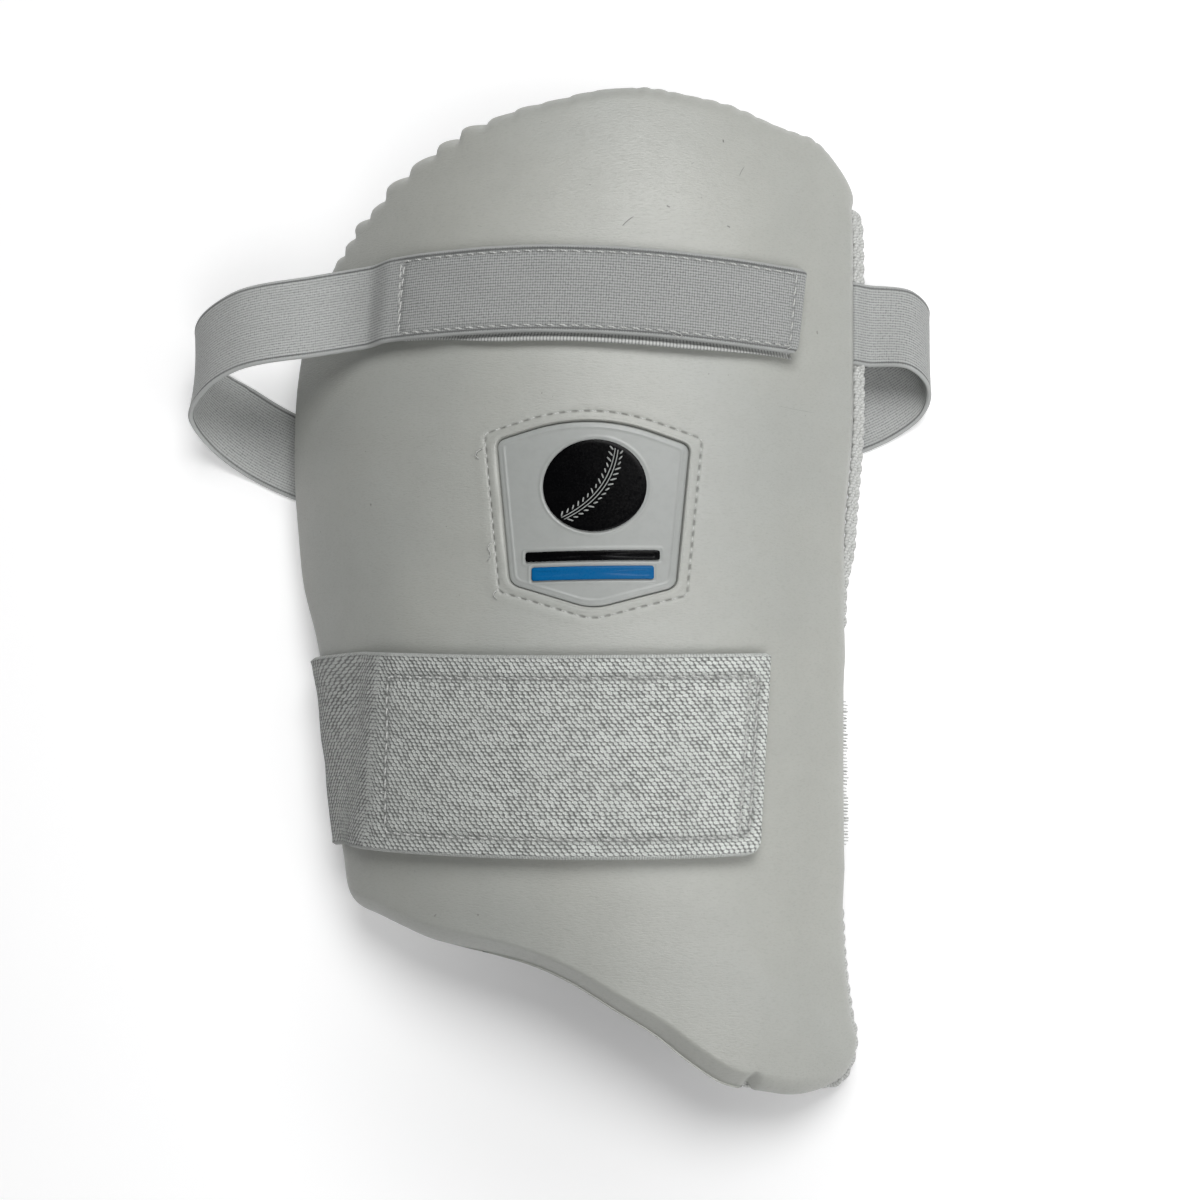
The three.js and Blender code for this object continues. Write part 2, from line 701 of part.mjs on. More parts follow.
// Origin at the middle of the footprint, on the ground.
const box = new THREE.Box3().setFromObject(guard, true);
guard.position.set(-(box.min.x + box.max.x) / 2, -(box.min.y + box.max.y) / 2, -box.min.z);
export default guard;
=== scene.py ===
import math

import bpy
import numpy as np
from mathutils import Matrix, Vector


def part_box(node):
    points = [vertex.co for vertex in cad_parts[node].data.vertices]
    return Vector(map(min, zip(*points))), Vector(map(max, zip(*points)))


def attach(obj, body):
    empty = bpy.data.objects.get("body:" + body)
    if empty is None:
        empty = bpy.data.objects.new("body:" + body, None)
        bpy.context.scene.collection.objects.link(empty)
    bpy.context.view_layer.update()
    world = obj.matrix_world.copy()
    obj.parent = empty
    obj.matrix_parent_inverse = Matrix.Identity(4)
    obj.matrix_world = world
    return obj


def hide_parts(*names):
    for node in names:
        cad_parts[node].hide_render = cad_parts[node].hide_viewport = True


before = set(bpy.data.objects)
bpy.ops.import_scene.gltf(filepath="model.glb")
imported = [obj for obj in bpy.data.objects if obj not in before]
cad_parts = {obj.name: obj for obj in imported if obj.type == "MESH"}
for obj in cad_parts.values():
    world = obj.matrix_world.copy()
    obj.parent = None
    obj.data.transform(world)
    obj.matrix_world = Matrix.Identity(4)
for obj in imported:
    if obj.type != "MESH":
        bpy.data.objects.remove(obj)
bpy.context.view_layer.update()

# Lengths are millimetres in the part's own coordinates. piece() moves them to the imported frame, in metres.
MM = 0.001

# Driving dimensions, the same as the part's.
PAD_GIRTH = 239
PAD_LENGTH = 375
BEND_RADIUS = 160
BEND_EASES_AT = 0.523 * PAD_GIRTH
BEND_RISE = PAD_GIRTH**2 / (8 * BEND_RADIUS)
RIGHT_TWIST = 0.2
PAD_THICK = 20
RIM_THICK = 11
RIM_ROLL = 7
SWELL_WIDTH = 0.26 * PAD_GIRTH
LINING_THICK = 1.5
SEAM_WIDTH = 4
SEAM_THICK = 2.8
SEAM_TUCK = 4.5
SEAM_LIFT = -0.3
GAP = 0.3
LOOP_LOW = 0.7
TAPE_THICK = 1.2
STACK_GAP = 0.6
STRAP_GAP = 0.9
HOOK_LOW = LOOP_LOW + TAPE_THICK + STACK_GAP
STRAP_LOW = HOOK_LOW + TAPE_THICK + STRAP_GAP
WAIST_WIDTH = 33
WAIST_THICK = 1.8
THIGH_WIDTH = 73
THIGH_THICK = 2.4
WINDOW_DEPTH = 2.2
PLATE_THICK = 1.2
MOTIF_THICK = 0.7
BALL_RADIUS = 17

CREST = np.array(
    [[-0.7, 0.822], [-0.49, 0.9], [-0.27, 1.005], [0, 1.132], [0.21, 1.244], [0.53, 1.39], [0.7, 1.457]]
)

# Pad outline, clockwise from the top of the dome: share of girth across, share of length along.
OUTLINE = np.array(
    [
        [0.1, 0.5187], [0.172, 0.5133], [0.238, 0.504], [0.31, 0.4907], [0.374, 0.48], [0.41, 0.464],
        [0.432, 0.444], [0.442, 0.416], [0.442, 0.336], [0.439, 0.248], [0.435, 0.155], [0.427, 0.06],
        [0.42, -0.03], [0.416, -0.12], [0.414, -0.22], [0.415, -0.3], [0.419, -0.36], [0.43, -0.41],
        [0.438, -0.43], [0.432, -0.452], [0.412, -0.47], [0.375, -0.4793], [0.32, -0.484], [0.265, -0.4793],
        [0.205, -0.472], [0.155, -0.452], [0.1, -0.424], [0.045, -0.402], [-0.02, -0.376], [-0.075, -0.36],
        [-0.135, -0.349], [-0.2, -0.34], [-0.275, -0.33], [-0.345, -0.308], [-0.396, -0.284], [-0.42, -0.25],
        [-0.437, -0.19], [-0.452, -0.13], [-0.468, -0.075], [-0.49, -0.02], [-0.518, 0.035], [-0.534, 0.095],
        [-0.545, 0.155], [-0.546, 0.21], [-0.539, 0.26], [-0.52, 0.305], [-0.485, 0.345], [-0.443, 0.38],
        [-0.392, 0.413], [-0.33, 0.442], [-0.262, 0.466], [-0.19, 0.486], [-0.115, 0.5], [-0.03, 0.51],
        [0.035, 0.5173],
    ]
)
WINDOW = np.array(
    [[0.022, 0.172], [0.157, 0.147], [0.135, 0.006], [0.021, -0.015], [-0.095, 0.012], [-0.114, 0.151]]
)
WINDOW_CENTRE = np.array([0.021 * PAD_GIRTH, 0.083 * PAD_LENGTH])
PAD_SIZE = np.array([PAD_GIRTH, PAD_LENGTH])
PAD_CENTRE = np.array([-0.03, 0.02]) * PAD_SIZE


def smooth(t):
    t = np.clip(t, 0, 1)
    return t * t * (3 - 2 * t)


def mix(a, b, t):
    return a + (b - a) * t


def hill(x, width):
    return np.exp(-((x / width) ** 2))


def unit(a):
    return a / np.maximum(np.linalg.norm(a, axis=-1, keepdims=True), 1e-9)


def crest(v):
    x, y = CREST[:, 0], CREST[:, 1]
    slopes = np.empty(len(x))
    slopes[1:-1] = (y[2:] - y[:-2]) / (x[2:] - x[:-2])
    slopes[0] = (y[1] - y[0]) / (x[1] - x[0])
    slopes[-1] = (y[-1] - y[-2]) / (x[-1] - x[-2])
    s = v / PAD_LENGTH
    i = np.clip(np.searchsorted(x, s, side="left") - 1, 0, len(x) - 2)
    h = x[i + 1] - x[i]
    t = (s - x[i]) / h
    t2, t3 = t * t, t * t * t
    share = (2 * t3 - 3 * t2 + 1) * y[i] + (t3 - 2 * t2 + t) * h * slopes[i]
    return BEND_RISE * (share + (3 * t2 - 2 * t3) * y[i + 1] + (t3 - t2) * h * slopes[i + 1])


def lean(u, v):
    bend = u / BEND_RADIUS / (1 + (np.abs(u) / BEND_EASES_AT) ** 4) ** 0.25
    return np.where(u > 0, bend * (1 + RIGHT_TWIST * smooth(0.27 - v / PAD_LENGTH)), bend)


def place(u, v, n):
    """Points at u across, v along and n out from the back surface."""
    u, v, n = np.broadcast_arrays(np.asarray(u, float), np.asarray(v, float), np.asarray(n, float))
    steps = 16
    x, drop = 0, 0
    for k in range(steps):
        a = lean(u * (k + 0.5) / steps, v)
        x = x + np.cos(a) * u / steps
        drop = drop + np.sin(a) * u / steps
    a = lean(u, v)
    slope = (crest(v + 1) - crest(v - 1)) / 2
    along = unit(np.stack([0 * slope, 1 + 0 * slope, slope], -1))
    normal = np.stack([np.sin(a), 0 * a, np.cos(a)], -1)
    normal = unit(normal - along * (normal * along).sum(-1, keepdims=True))
    return np.stack([x, v, crest(v) - drop], -1) + normal * n[..., None]


def spline(points, t, closed=False):
    """Centripetal Catmull-Rom curve through points, at t from 0 to the number of spans."""
    p = np.asarray(points, float)
    count = len(p)
    i = np.clip(np.floor(t).astype(int), 0, (count if closed else count - 1) - 1)
    f = (t - i)[:, None]
    if closed:
        q = [p[(i + k) % count] for k in (-1, 0, 1, 2)]
    else:
        e = np.vstack([2 * p[:1] - p[1:2], p, 2 * p[-1:] - p[-2:-1]])
        q = [e[i + k] for k in range(4)]
    d = [np.linalg.norm(b - a, axis=1)[:, None] ** 0.5 for a, b in zip(q, q[1:])]
    m1 = ((q[1] - q[0]) / d[0] - (q[2] - q[0]) / (d[0] + d[1]) + (q[2] - q[1]) / d[1]) * d[1]
    m2 = ((q[2] - q[1]) / d[1] - (q[3] - q[1]) / (d[1] + d[2]) + (q[3] - q[2]) / d[2]) * d[1]
    c2 = -3 * q[1] + 3 * q[2] - 2 * m1 - m2
    c3 = 2 * q[1] - 2 * q[2] + m1 + m2
    return q[1] + m1 * f + c2 * f**2 + c3 * f**3


def gone_along(line):
    """Distance gone along a line at each of its points."""
    return np.concatenate([[0], np.cumsum(np.linalg.norm(np.diff(line, axis=0), axis=1))])


def evenly(points, count):
    """Closed line resampled to evenly spaced points, and its length."""
    p = np.vstack([points, points[:1]])
    reach = gone_along(p)
    at = np.linspace(0, reach[-1], count, endpoint=False)
    return np.stack([np.interp(at, reach, p[:, k]) for k in range(p.shape[1])], 1), reach[-1]


def around(a, width):
    """Running mean over a closed line."""
    return sum(np.roll(a, k, axis=0) for k in range(-width, width + 1)) / (2 * width + 1)


def inward_of(line, width):
    step = np.roll(line, -1, axis=0) - np.roll(line, 1, axis=0)
    return unit(around(np.stack([step[:, 1], -step[:, 0]], 1), width))


STATIONS = 800
dense = spline(OUTLINE * PAD_SIZE, np.linspace(0, len(OUTLINE), 1980, endpoint=False), True)
outline, girth = evenly(dense, STATIONS)
inward = inward_of(outline, 5)
# The lower left corner is sharper than the part's, and the upper right one straighter: gain, place and width.
CORNER_CHANGES = [(3.0, -94, -112, 10), (-1.3, -68, -122, 12), (-2.3, 98, 172, 13)]


def fullness(u, v):
    """How far the pad's outline in the photo lies outside the part's."""
    side, along = u / PAD_GIRTH, v / PAD_LENGTH
    upper_right = 3.0 * smooth((side - 0.3) / 0.1) * smooth((v - 22) / 60)
    out = np.maximum(upper_right, 1.4 * smooth((along - 0.42) / 0.06))
    beside_strap = smooth((-side - 0.3) / 0.08) * smooth((20 - v) / 40)
    out = out - 1.4 * beside_strap * smooth((v + 112) / 20)
    for gain, corner_u, corner_v, width in CORNER_CHANGES:
        out = out + gain * hill(np.hypot(u - corner_u, v - corner_v), width)
    return out - 1.1 * smooth((side - 0.3) / 0.1) * smooth((-8 - v) / 24)


outline, girth = evenly(outline - inward * fullness(*outline.T)[:, None], STATIONS)
inward = inward_of(outline, 5)
arc = np.arange(STATIONS) * girth / STATIONS


def nearest(line, u, v):
    """Distance from points to a closed line, and how far along the line the nearest place is, in stations."""
    shape = np.shape(u)
    pu, pv = np.ravel(u), np.ravel(v)
    best, where = np.empty(len(pu)), np.empty(len(pu))
    count = len(line)
    for s in range(0, len(pu), 8000):
        a, b = pu[s : s + 8000], pv[s : s + 8000]
        k = np.argmin((a[:, None] - line[:, 0]) ** 2 + (b[:, None] - line[:, 1]) ** 2, axis=1)
        best[s : s + 8000] = 1e9
        for lo in (k - 1, k):
            p, q = line[lo % count], line[(lo + 1) % count]
            d = q - p
            t = np.clip(((a - p[:, 0]) * d[:, 0] + (b - p[:, 1]) * d[:, 1]) / (d**2).sum(1), 0, 1)
            far = np.hypot(a - p[:, 0] - t * d[:, 0], b - p[:, 1] - t * d[:, 1])
            closer = far < best[s : s + 8000]
            best[s : s + 8000] = np.where(closer, far, best[s : s + 8000])
            where[s : s + 8000] = np.where(closer, lo + t, where[s : s + 8000])
    return best.reshape(shape), where.reshape(shape) % count


def swell(d):
    full = RIM_THICK + (PAD_THICK - RIM_THICK) * np.sin(np.pi / 2 * np.minimum(1, d / SWELL_WIDTH))
    t = np.clip(1 - d / RIM_ROLL, 0, 1)
    return np.where(d < RIM_ROLL, full * mix(0.45, 1, np.sqrt(np.maximum(0, 1 - t * t))), full)


def face(u, v):
    return swell(nearest(outline, u, v)[0])


ball_middle = WINDOW_CENTRE + [1, 9]
PLATE_LOW = -WINDOW_DEPTH + GAP
MOTIF_LOW = PLATE_LOW + PLATE_THICK + GAP
turn = -2 * np.pi * np.arange(24) / 24
ball_ring = ball_middle + BALL_RADIUS * np.stack([np.cos(turn), np.sin(turn)], 1)
ball_low = np.min(
    [place(*ball_ring.T, PAD_THICK + n).min(0) for n in (MOTIF_LOW, MOTIF_LOW + MOTIF_THICK)], axis=0
)
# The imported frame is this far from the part's own coordinates, found from the ball's solid.
SHIFT = np.array(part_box("badge_ball")[0]) / MM - ball_low
SHIFT[2] = 0


def waves(seed, length, count=7):
    """Smooth uneven field of about unit height, with features about length across."""
    draw = np.random.default_rng(seed)
    turns, phases = draw.uniform(0, 2 * np.pi, count), draw.uniform(0, 2 * np.pi, count)
    rates = 2 * np.pi / (length * draw.uniform(0.7, 1.5, count))

    def field(x, y):
        return sum(
            np.sin(k * (x * math.cos(a) + y * math.sin(a)) + p) for k, a, p in zip(rates, turns, phases)
        ) / math.sqrt(count)

    return field


# Shader building


class Shader:
    def __init__(self, name, **sockets):
        self.mat = bpy.data.materials.new(name)
        self.mat.use_nodes = True
        self.tree = self.mat.node_tree
        self.bsdf = self.tree.nodes["Principled BSDF"]
        for key, value in sockets.items():
            self.bsdf.inputs[key.replace("_", " ")].default_value = value
        self.mm = self.scaled(self.node("TexCoord").outputs["Object"], (1 / MM, 1 / MM, 1 / MM))

    def put(self, value, socket):
        if isinstance(value, bpy.types.NodeSocket):
            self.tree.links.new(value, socket)
        else:
            socket.default_value = value

    def node(self, kind, inputs=(), **props):
        made = self.tree.nodes.new("ShaderNode" + kind)
        for key, value in props.items():
            setattr(made, key, value)
        for key, value in dict(inputs).items():
            self.put(value, made.inputs[key])
        return made

    def scaled(self, vector, by):
        return self.node("VectorMath", {0: vector, 1: by}, operation="MULTIPLY").outputs[0]

    def from_point(self, x, y, z=0):
        return self.node("VectorMath", {0: self.mm, 1: (x, y, z)}, operation="SUBTRACT").outputs[0]

    def split(self, vector):
        return self.node("SeparateXYZ", {0: vector}).outputs

    def math(self, op, a, b=0.0, clamp=False):
        return self.node("Math", {0: a, 1: b}, operation=op, use_clamp=clamp).outputs[0]

    def times(self, a, b, clamp=False):
        return self.math("MULTIPLY", a, b, clamp)

    def plus(self, a, b):
        return self.math("ADD", a, b)

    def less(self, a, b, clamp=False):
        return self.math("SUBTRACT", a, b, clamp)

    def size(self, a):
        return self.math("ABSOLUTE", a)

    def power(self, a, by):
        return self.math("POWER", a, by)

    def ribs(self, along, pitch):
        """Ridges a pitch apart, 1 on top and 0 in the grooves."""
        return self.size(self.math("SINE", self.times(along, math.pi / pitch)))

    def voronoi(self, vector, spread):
        inputs = {"Vector": vector, "Scale": 1.0, "Randomness": spread}
        return self.node("TexVoronoi", inputs, feature="F1").outputs[0]

    def noise(self, vector, scale, detail=3.0, rough=0.55):
        return self.node(
            "TexNoise", {"Vector": vector, "Scale": scale, "Detail": detail, "Roughness": rough}
        ).outputs[0]

    def ramp(self, value, low, high, to_low=0.0, to_high=1.0):
        return self.node(
            "MapRange", {0: value, 1: low, 2: high, 3: to_low, 4: to_high}, interpolation_type="SMOOTHSTEP"
        ).outputs[0]

    def blend(self, share, a, b, how="MIX"):
        a, b = (c if isinstance(c, bpy.types.NodeSocket) else (*c, 1) for c in (a, b))
        return self.node("Mix", {0: share, 6: a, 7: b}, data_type="RGBA", blend_type=how).outputs[2]

    def bump(self, height, strength, distance, normal=None):
        inputs = {"Height": height, "Strength": strength, "Distance": distance * MM}
        if normal is not None:
            inputs["Normal"] = normal
        return self.node("Bump", inputs).outputs[0]

    def band(self):
        """The run of a piece, then its along and across in millimetres, and its share of a groove or hole."""
        at = self.node("Attribute", attribute_name="run_mm").outputs["Vector"]
        return at, *self.split(at)[:3]

    def done(self, colour, rough, normal):
        self.put(colour, self.bsdf.inputs["Base Color"])
        self.put(rough, self.bsdf.inputs["Roughness"])
        self.put(normal, self.bsdf.inputs["Normal"])
        return self.mat


LEATHER_WARM = (0.428, 0.435, 0.402)
LEATHER_COOL = (0.400, 0.412, 0.388)
LEATHER_DULL = (0.35, 0.352, 0.328)
LEATHER_DARK = (0.25, 0.25, 0.23)
WAIST_LIGHT = (0.425, 0.435, 0.428)
WAIST_DARK = (0.12, 0.124, 0.122)
WAIST_DULL = (0.31, 0.317, 0.312)
THIGH_LIGHT = (0.68, 0.703, 0.676)
THIGH_DARK = (0.14, 0.145, 0.138)
THIGH_DULL = (0.40, 0.415, 0.395)
PLY_RATE = 5.2
RIB_PITCH = 1.05
WEFT_PITCH = 0.95
FLOAT_ROW = 1.3
FLOAT_LONG = 2.1
FLOAT_SLANT = 0.42
NUB_LONG, NUB_WIDE = 1.2, 0.7
# Marks on the leather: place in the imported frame, turn, half length, half width, curve, darkness.
SCRATCHES = [
    ((36.5, 132), 2.44, 3.2, 0.26, 0.03, 0.85),
    ((78.5, 154), 2.0, 2.5, 0.2, 0.03, 0.6),
    ((51.5, 137.6), 0.5, 0.8, 0.4, 0.0, 0.8),
    ((71.8, 166), 1.5, 0.8, 0.35, 0.0, 0.8),
    ((73.6, 131), 0.5, 0.7, 0.35, 0.0, 0.8),
    ((60.6, 155.5), 2.4, 0.9, 0.25, 0.0, 0.35),
    ((-20, 133.7), 0.4, 1.2, 0.16, 0.05, 0.35),
    ((97, 64), 0.05, 8.0, 0.16, 0.004, 0.25),
    ((62, -84), 1.2, 4.0, 0.14, 0.02, 0.3),
    ((12, -128), 0.3, 2.4, 0.16, 0.05, 0.3),
]


def leather_look():
    s = Shader("white_leather", Specular_IOR_Level=0.8)
    grain = s.noise(s.scaled(s.mm, (0.5, 1.8, 1.1)), 1.0, 4.0, 0.62)
    pores = s.voronoi(s.scaled(s.mm, (0.95, 1.5, 1.2)), 1.0)
    cloud = s.noise(s.mm, 0.011, 3.0, 0.5)
    mottle = s.noise(s.mm, 0.09, 4.0, 0.6)
    colour = s.blend(s.ramp(cloud, 0.32, 0.68), LEATHER_COOL, LEATHER_WARM)
    colour = s.blend(s.ramp(mottle, 0.3, 0.75, 0.0, 0.22), colour, LEATHER_DULL)
    colour = s.blend(s.ramp(grain, 0.52, 0.3, 0.0, 0.2), colour, LEATHER_DARK)
    specks = s.ramp(s.noise(s.mm, 0.42, 1.0, 0.5), 0.81, 0.83)
    colour = s.blend(s.times(specks, 0.5), colour, (0.12, 0.11, 0.10))
    for (x, y), turn, long, wide, curve, depth in SCRATCHES:
        turned = s.node("VectorRotate", {"Vector": s.from_point(x, y), "Angle": turn}, rotation_type="Z_AXIS")
        spot = s.split(turned.outputs[0])
        from_middle = s.size(spot[0])
        bend = s.times(s.power(from_middle, 2.0), curve)
        across = s.size(s.less(spot[1], bend))
        mark = s.times(s.ramp(across, wide, wide * 0.3), s.ramp(from_middle, long, long * 0.6))
        colour = s.blend(s.times(mark, depth), colour, (0.10, 0.095, 0.09))
    # The needle holes round the badge are painted near black: painted shade in the holes.
    pierced = s.band()[3]
    colour = s.blend(s.times(pierced, 0.62, True), colour, (0.07, 0.068, 0.062))
    height = s.plus(grain, s.times(pores, 0.12))
    normal = s.bump(mottle, 0.25, 0.5)
    normal = s.bump(height, 0.75, 0.22, normal)
    return s.done(colour, s.ramp(grain, 0.3, 0.7, 0.52, 0.4), normal)


def lining_look():
    s = Shader("brushed_lining", Specular_IOR_Level=0.2, Sheen_Weight=0.3, Sheen_Roughness=0.5)
    knit = s.node("TexWave", {"Vector": s.scaled(s.mm, (1, 0.25, 1)), "Scale": 0.22, "Distortion": 1.2,
                              "Detail": 2.0, "Detail Scale": 1.4}, bands_direction="X").outputs[1]
    rows = s.node("TexWave", {"Vector": s.mm, "Scale": 0.26, "Distortion": 1.0, "Detail": 2.0},
                  bands_direction="Y").outputs[1]
    fuzz = s.noise(s.mm, 1.6, 4.0, 0.7)
    cloth = s.times(s.plus(knit, 0.3), s.plus(rows, 0.3))
    colour = s.blend(s.ramp(cloth, 0.1, 0.9), (0.33, 0.335, 0.33), (0.45, 0.455, 0.445))
    colour = s.blend(s.ramp(s.noise(s.mm, 0.04, 3.0), 0.35, 0.7, 0, 0.3), colour, (0.38, 0.375, 0.36))
    height = s.plus(cloth, s.times(fuzz, 0.8))
    return s.done(colour, 0.9, s.bump(height, 0.7, 0.35))


def thread_look():
    s = Shader("seam_thread", Specular_IOR_Level=0.35, Sheen_Weight=0.2)
    _, along, round_it, _ = s.band()
    ply = s.math("SINE", s.plus(s.times(along, PLY_RATE), s.times(round_it, 6.283)))
    fuzz = s.noise(s.mm, 2.5, 3.0, 0.7)
    colour = s.blend(s.ramp(ply, -0.9, 0.4), (0.46, 0.465, 0.45), (0.60, 0.61, 0.595))
    colour = s.blend(s.ramp(s.noise(s.mm, 0.12, 2.0), 0.35, 0.7, 0, 0.25), colour, (0.44, 0.44, 0.42))
    height = s.plus(ply, fuzz)
    return s.done(colour, 0.68, s.bump(height, 0.55, 0.12))


def waist_look():
    s = Shader("ribbed_elastic", Specular_IOR_Level=0.2, Sheen_Weight=0.15, Sheen_Roughness=0.4)
    at, along, across, groove = s.band()
    wander = s.times(s.less(s.noise(at, 0.6, 2.0), 0.5), 0.14)
    off = s.size(across)
    across = s.plus(across, wander)
    rib = s.ribs(across, RIB_PITCH)
    weft = s.ribs(s.plus(along, wander), WEFT_PITCH)
    share = s.ramp(along, 150.0, 172.0, 0.6, 0.28)
    cloth = s.times(
        s.plus(s.times(s.power(rib, 0.7), 0.7), 0.3),
        s.plus(s.times(s.less(s.power(weft, 0.7), 1.0), share), 1.0),
    )
    cloth = s.times(cloth, s.ramp(s.noise(at, 1.1, 3.0, 0.7), 0.3, 0.65, 0.7, 1.25))
    half = WAIST_WIDTH / 2
    line = s.less(s.ramp(off, half - 1.9, half - 1.6), s.ramp(off, half - 1.3, half - 1.0))
    cloth = s.times(cloth, s.less(1.0, s.times(line, 0.75)))
    cloth = s.math("MAXIMUM", cloth, s.times(s.ramp(off, half - 1.0, half - 0.8), 0.95))
    colour = s.blend(s.ramp(cloth, 0.1, 0.95), WAIST_DARK, WAIST_LIGHT)
    patchy = s.noise(s.scaled(at, (0.05, 0.3, 1)), 1.0, 3.0, 0.6)
    colour = s.blend(s.ramp(patchy, 0.3, 0.75, 0.0, 0.3), colour, WAIST_DULL)
    # Painted shade in the stitch grooves.
    colour = s.blend(s.times(groove, 0.3), colour, WAIST_DARK)
    # Painted light along the strap: about as it is on the face, much brighter from the left loop on, and less
    # so from the middle of the run under the pad.
    waist_painted_light_shade = s.times(s.ramp(along, 168.0, 200.0, 0.98, 1.32), s.ramp(along, 360.0, 480.0, 1.0, 0.82))
    colour = s.blend(1.0, colour, waist_painted_light_shade, "MULTIPLY")
    normal = s.bump(s.plus(cloth, s.times(s.noise(at, 2.2, 3.0), 0.3)), 0.5, 0.2)
    return s.done(colour, 0.8, normal)


def thigh_look():
    s = Shader("nubbly_elastic", Specular_IOR_Level=0.2, Sheen_Weight=0.3, Sheen_Roughness=0.5)
    at, along, across, groove = s.band()
    drift = s.node("TexNoise", {"Vector": at, "Scale": 0.3, "Detail": 3.0, "Roughness": 0.65})
    shift = s.split(drift.outputs[1])
    edge = s.ramp(s.size(across), THIGH_WIDTH / 2 - 1.5, THIGH_WIDTH / 2 - 1.0)
    fine = s.ribs(along, 1.0)
    across = s.plus(across, s.times(s.less(shift[0], 0.5), 1.1))
    along = s.plus(along, s.times(s.less(shift[1], 0.5), 1.5))
    rise = s.math("DIVIDE", across, FLOAT_ROW)
    row = s.math("FLOOR", rise)
    within = s.math("FRACT", rise)
    jitter = s.node("TexWhiteNoise", {"W": row}, noise_dimensions="1D").outputs[0]
    lap = s.plus(s.math("DIVIDE", along, FLOAT_LONG), s.times(row, 0.5))
    lap = s.plus(lap, s.times(jitter, 0.2))
    one = s.node("CombineXYZ", {0: s.math("FLOOR", lap), 1: row}).outputs[0]
    own = s.node("TexWhiteNoise", {"Vector": one}, noise_dimensions="2D").outputs[0]
    da = s.times(s.less(s.math("FRACT", lap), 0.5), FLOAT_LONG)
    dw = s.times(s.less(within, 0.5), FLOAT_ROW)
    turned = s.ramp(along, 149.0, 155.0, 1.0, -1.4)
    cos, sin = math.cos(FLOAT_SLANT), s.times(turned, math.sin(FLOAT_SLANT))
    length = s.plus(s.times(da, cos), s.times(dw, sin))
    breadth = s.less(s.times(dw, cos), s.times(da, sin))
    far = s.plus(
        s.power(s.size(s.math("DIVIDE", length, NUB_LONG)), 2.4),
        s.power(s.size(s.math("DIVIDE", breadth, NUB_WIDE)), 2.0),
    )
    nub = s.less(s.plus(0.84, s.times(own, 0.55)), far, clamp=True)
    # In the stitch grooves the nubs are lower and their tone darker: partly relief, partly painted shade.
    nub = s.times(nub, s.less(1.0, s.times(groove, 0.4), clamp=True))
    plain = s.plus(s.times(fine, 0.3), 0.4)
    nub = s.plus(s.times(nub, s.less(1.0, edge)), s.times(plain, edge))
    uneven = s.noise(at, 0.9, 3.0, 0.65)
    fuzz = s.noise(s.scaled(at, (1.7, 2.4, 1)), 1.0, 3.0, 0.7)
    tone = s.times(nub, s.plus(s.times(uneven, 0.9), 0.5))
    tone = s.times(tone, s.ramp(fuzz, 0.3, 0.6, 0.55, 1.15))
    colour = s.blend(s.ramp(tone, -0.1, 1.0), THIGH_DARK, THIGH_LIGHT)
    # Painted light and shade along the strap: brighter at its free end, darker towards the left edge of the
    # pad, and darker again where it turns over that edge.
    thigh_painted_light_shade = s.times(s.ramp(along, 10.0, 135.0, 1.14, 0.9), s.ramp(along, 141.0, 154.0, 1.0, 0.82))
    colour = s.blend(1.0, colour, thigh_painted_light_shade, "MULTIPLY")
    # Painted shade in the stitch grooves.
    colour = s.blend(s.times(groove, 0.4), colour, THIGH_DARK)
    colour = s.blend(s.ramp(s.noise(at, 0.05, 3.0), 0.35, 0.7, 0.0, 0.2), colour, THIGH_DULL)
    height = s.plus(nub, s.times(fuzz, 0.45))
    return s.done(colour, 0.88, s.bump(height, 0.8, 0.5))


def tape_look(name, light, dark, pitch, depth, ribbed=0.0):
    s = Shader(name, Specular_IOR_Level=0.2, Sheen_Weight=0.2)
    at, along, _, _ = s.band()
    pile = s.voronoi(s.scaled(at, (1 / pitch, 1 / pitch, 1)), 0.7)
    ribs = s.ribs(along, 1.1)
    fuzz = s.noise(s.scaled(at, (2.4, 1.2, 1)), 1.0, 4.0, 0.7)
    pile = s.plus(s.times(pile, 1 - ribbed), s.times(s.less(0.8, ribs), ribbed))
    colour = s.blend(s.ramp(pile, 0.1, 0.6), light, dark)
    height = s.less(s.times(fuzz, 0.9), pile)
    return s.done(colour, 0.85, s.bump(height, 0.7, depth))


def gloss_look(name, colour, dull, rough, grain, shine):
    s = Shader(name, Specular_IOR_Level=shine)
    fine = s.noise(s.mm, 1.3, 4.0, 0.6)
    wear = s.noise(s.mm, 0.25, 4.0, 0.65)
    shade = s.blend(s.ramp(wear, 0.35, 0.75, 0.0, 0.55), colour, dull)
    return s.done(shade, s.ramp(fine, 0.3, 0.7, rough + 0.1, rough - 0.05), s.bump(fine, grain, 0.12))


LEATHER = leather_look()
LINING = lining_look()
THREAD = thread_look()
WAIST = waist_look()
THIGH = thigh_look()
LOOP = tape_look("loop_tape", (0.56, 0.57, 0.555), (0.28, 0.285, 0.278), pitch=0.7, depth=0.18, ribbed=0.8)
HOOK = tape_look("hook_tape", (0.44, 0.445, 0.435), (0.25, 0.25, 0.245), pitch=1.4, depth=0.5)
WHITE = gloss_look("badge_white", (0.36, 0.374, 0.362), (0.32, 0.33, 0.32), rough=0.34, grain=0.12, shine=0.5)
BLACK = gloss_look(
    "badge_black", (0.0015, 0.0015, 0.0018), (0.003, 0.003, 0.0033), rough=0.2, grain=0.12, shine=0.07
)
BLUE = gloss_look(
    "badge_blue", (0.002, 0.105, 0.285), (0.003, 0.125, 0.33), rough=0.28, grain=0.3, shine=0.12
)


# Mesh building


def linked(name, data):
    obj = bpy.data.objects.new(name, data)
    bpy.context.scene.collection.objects.link(obj)
    return obj


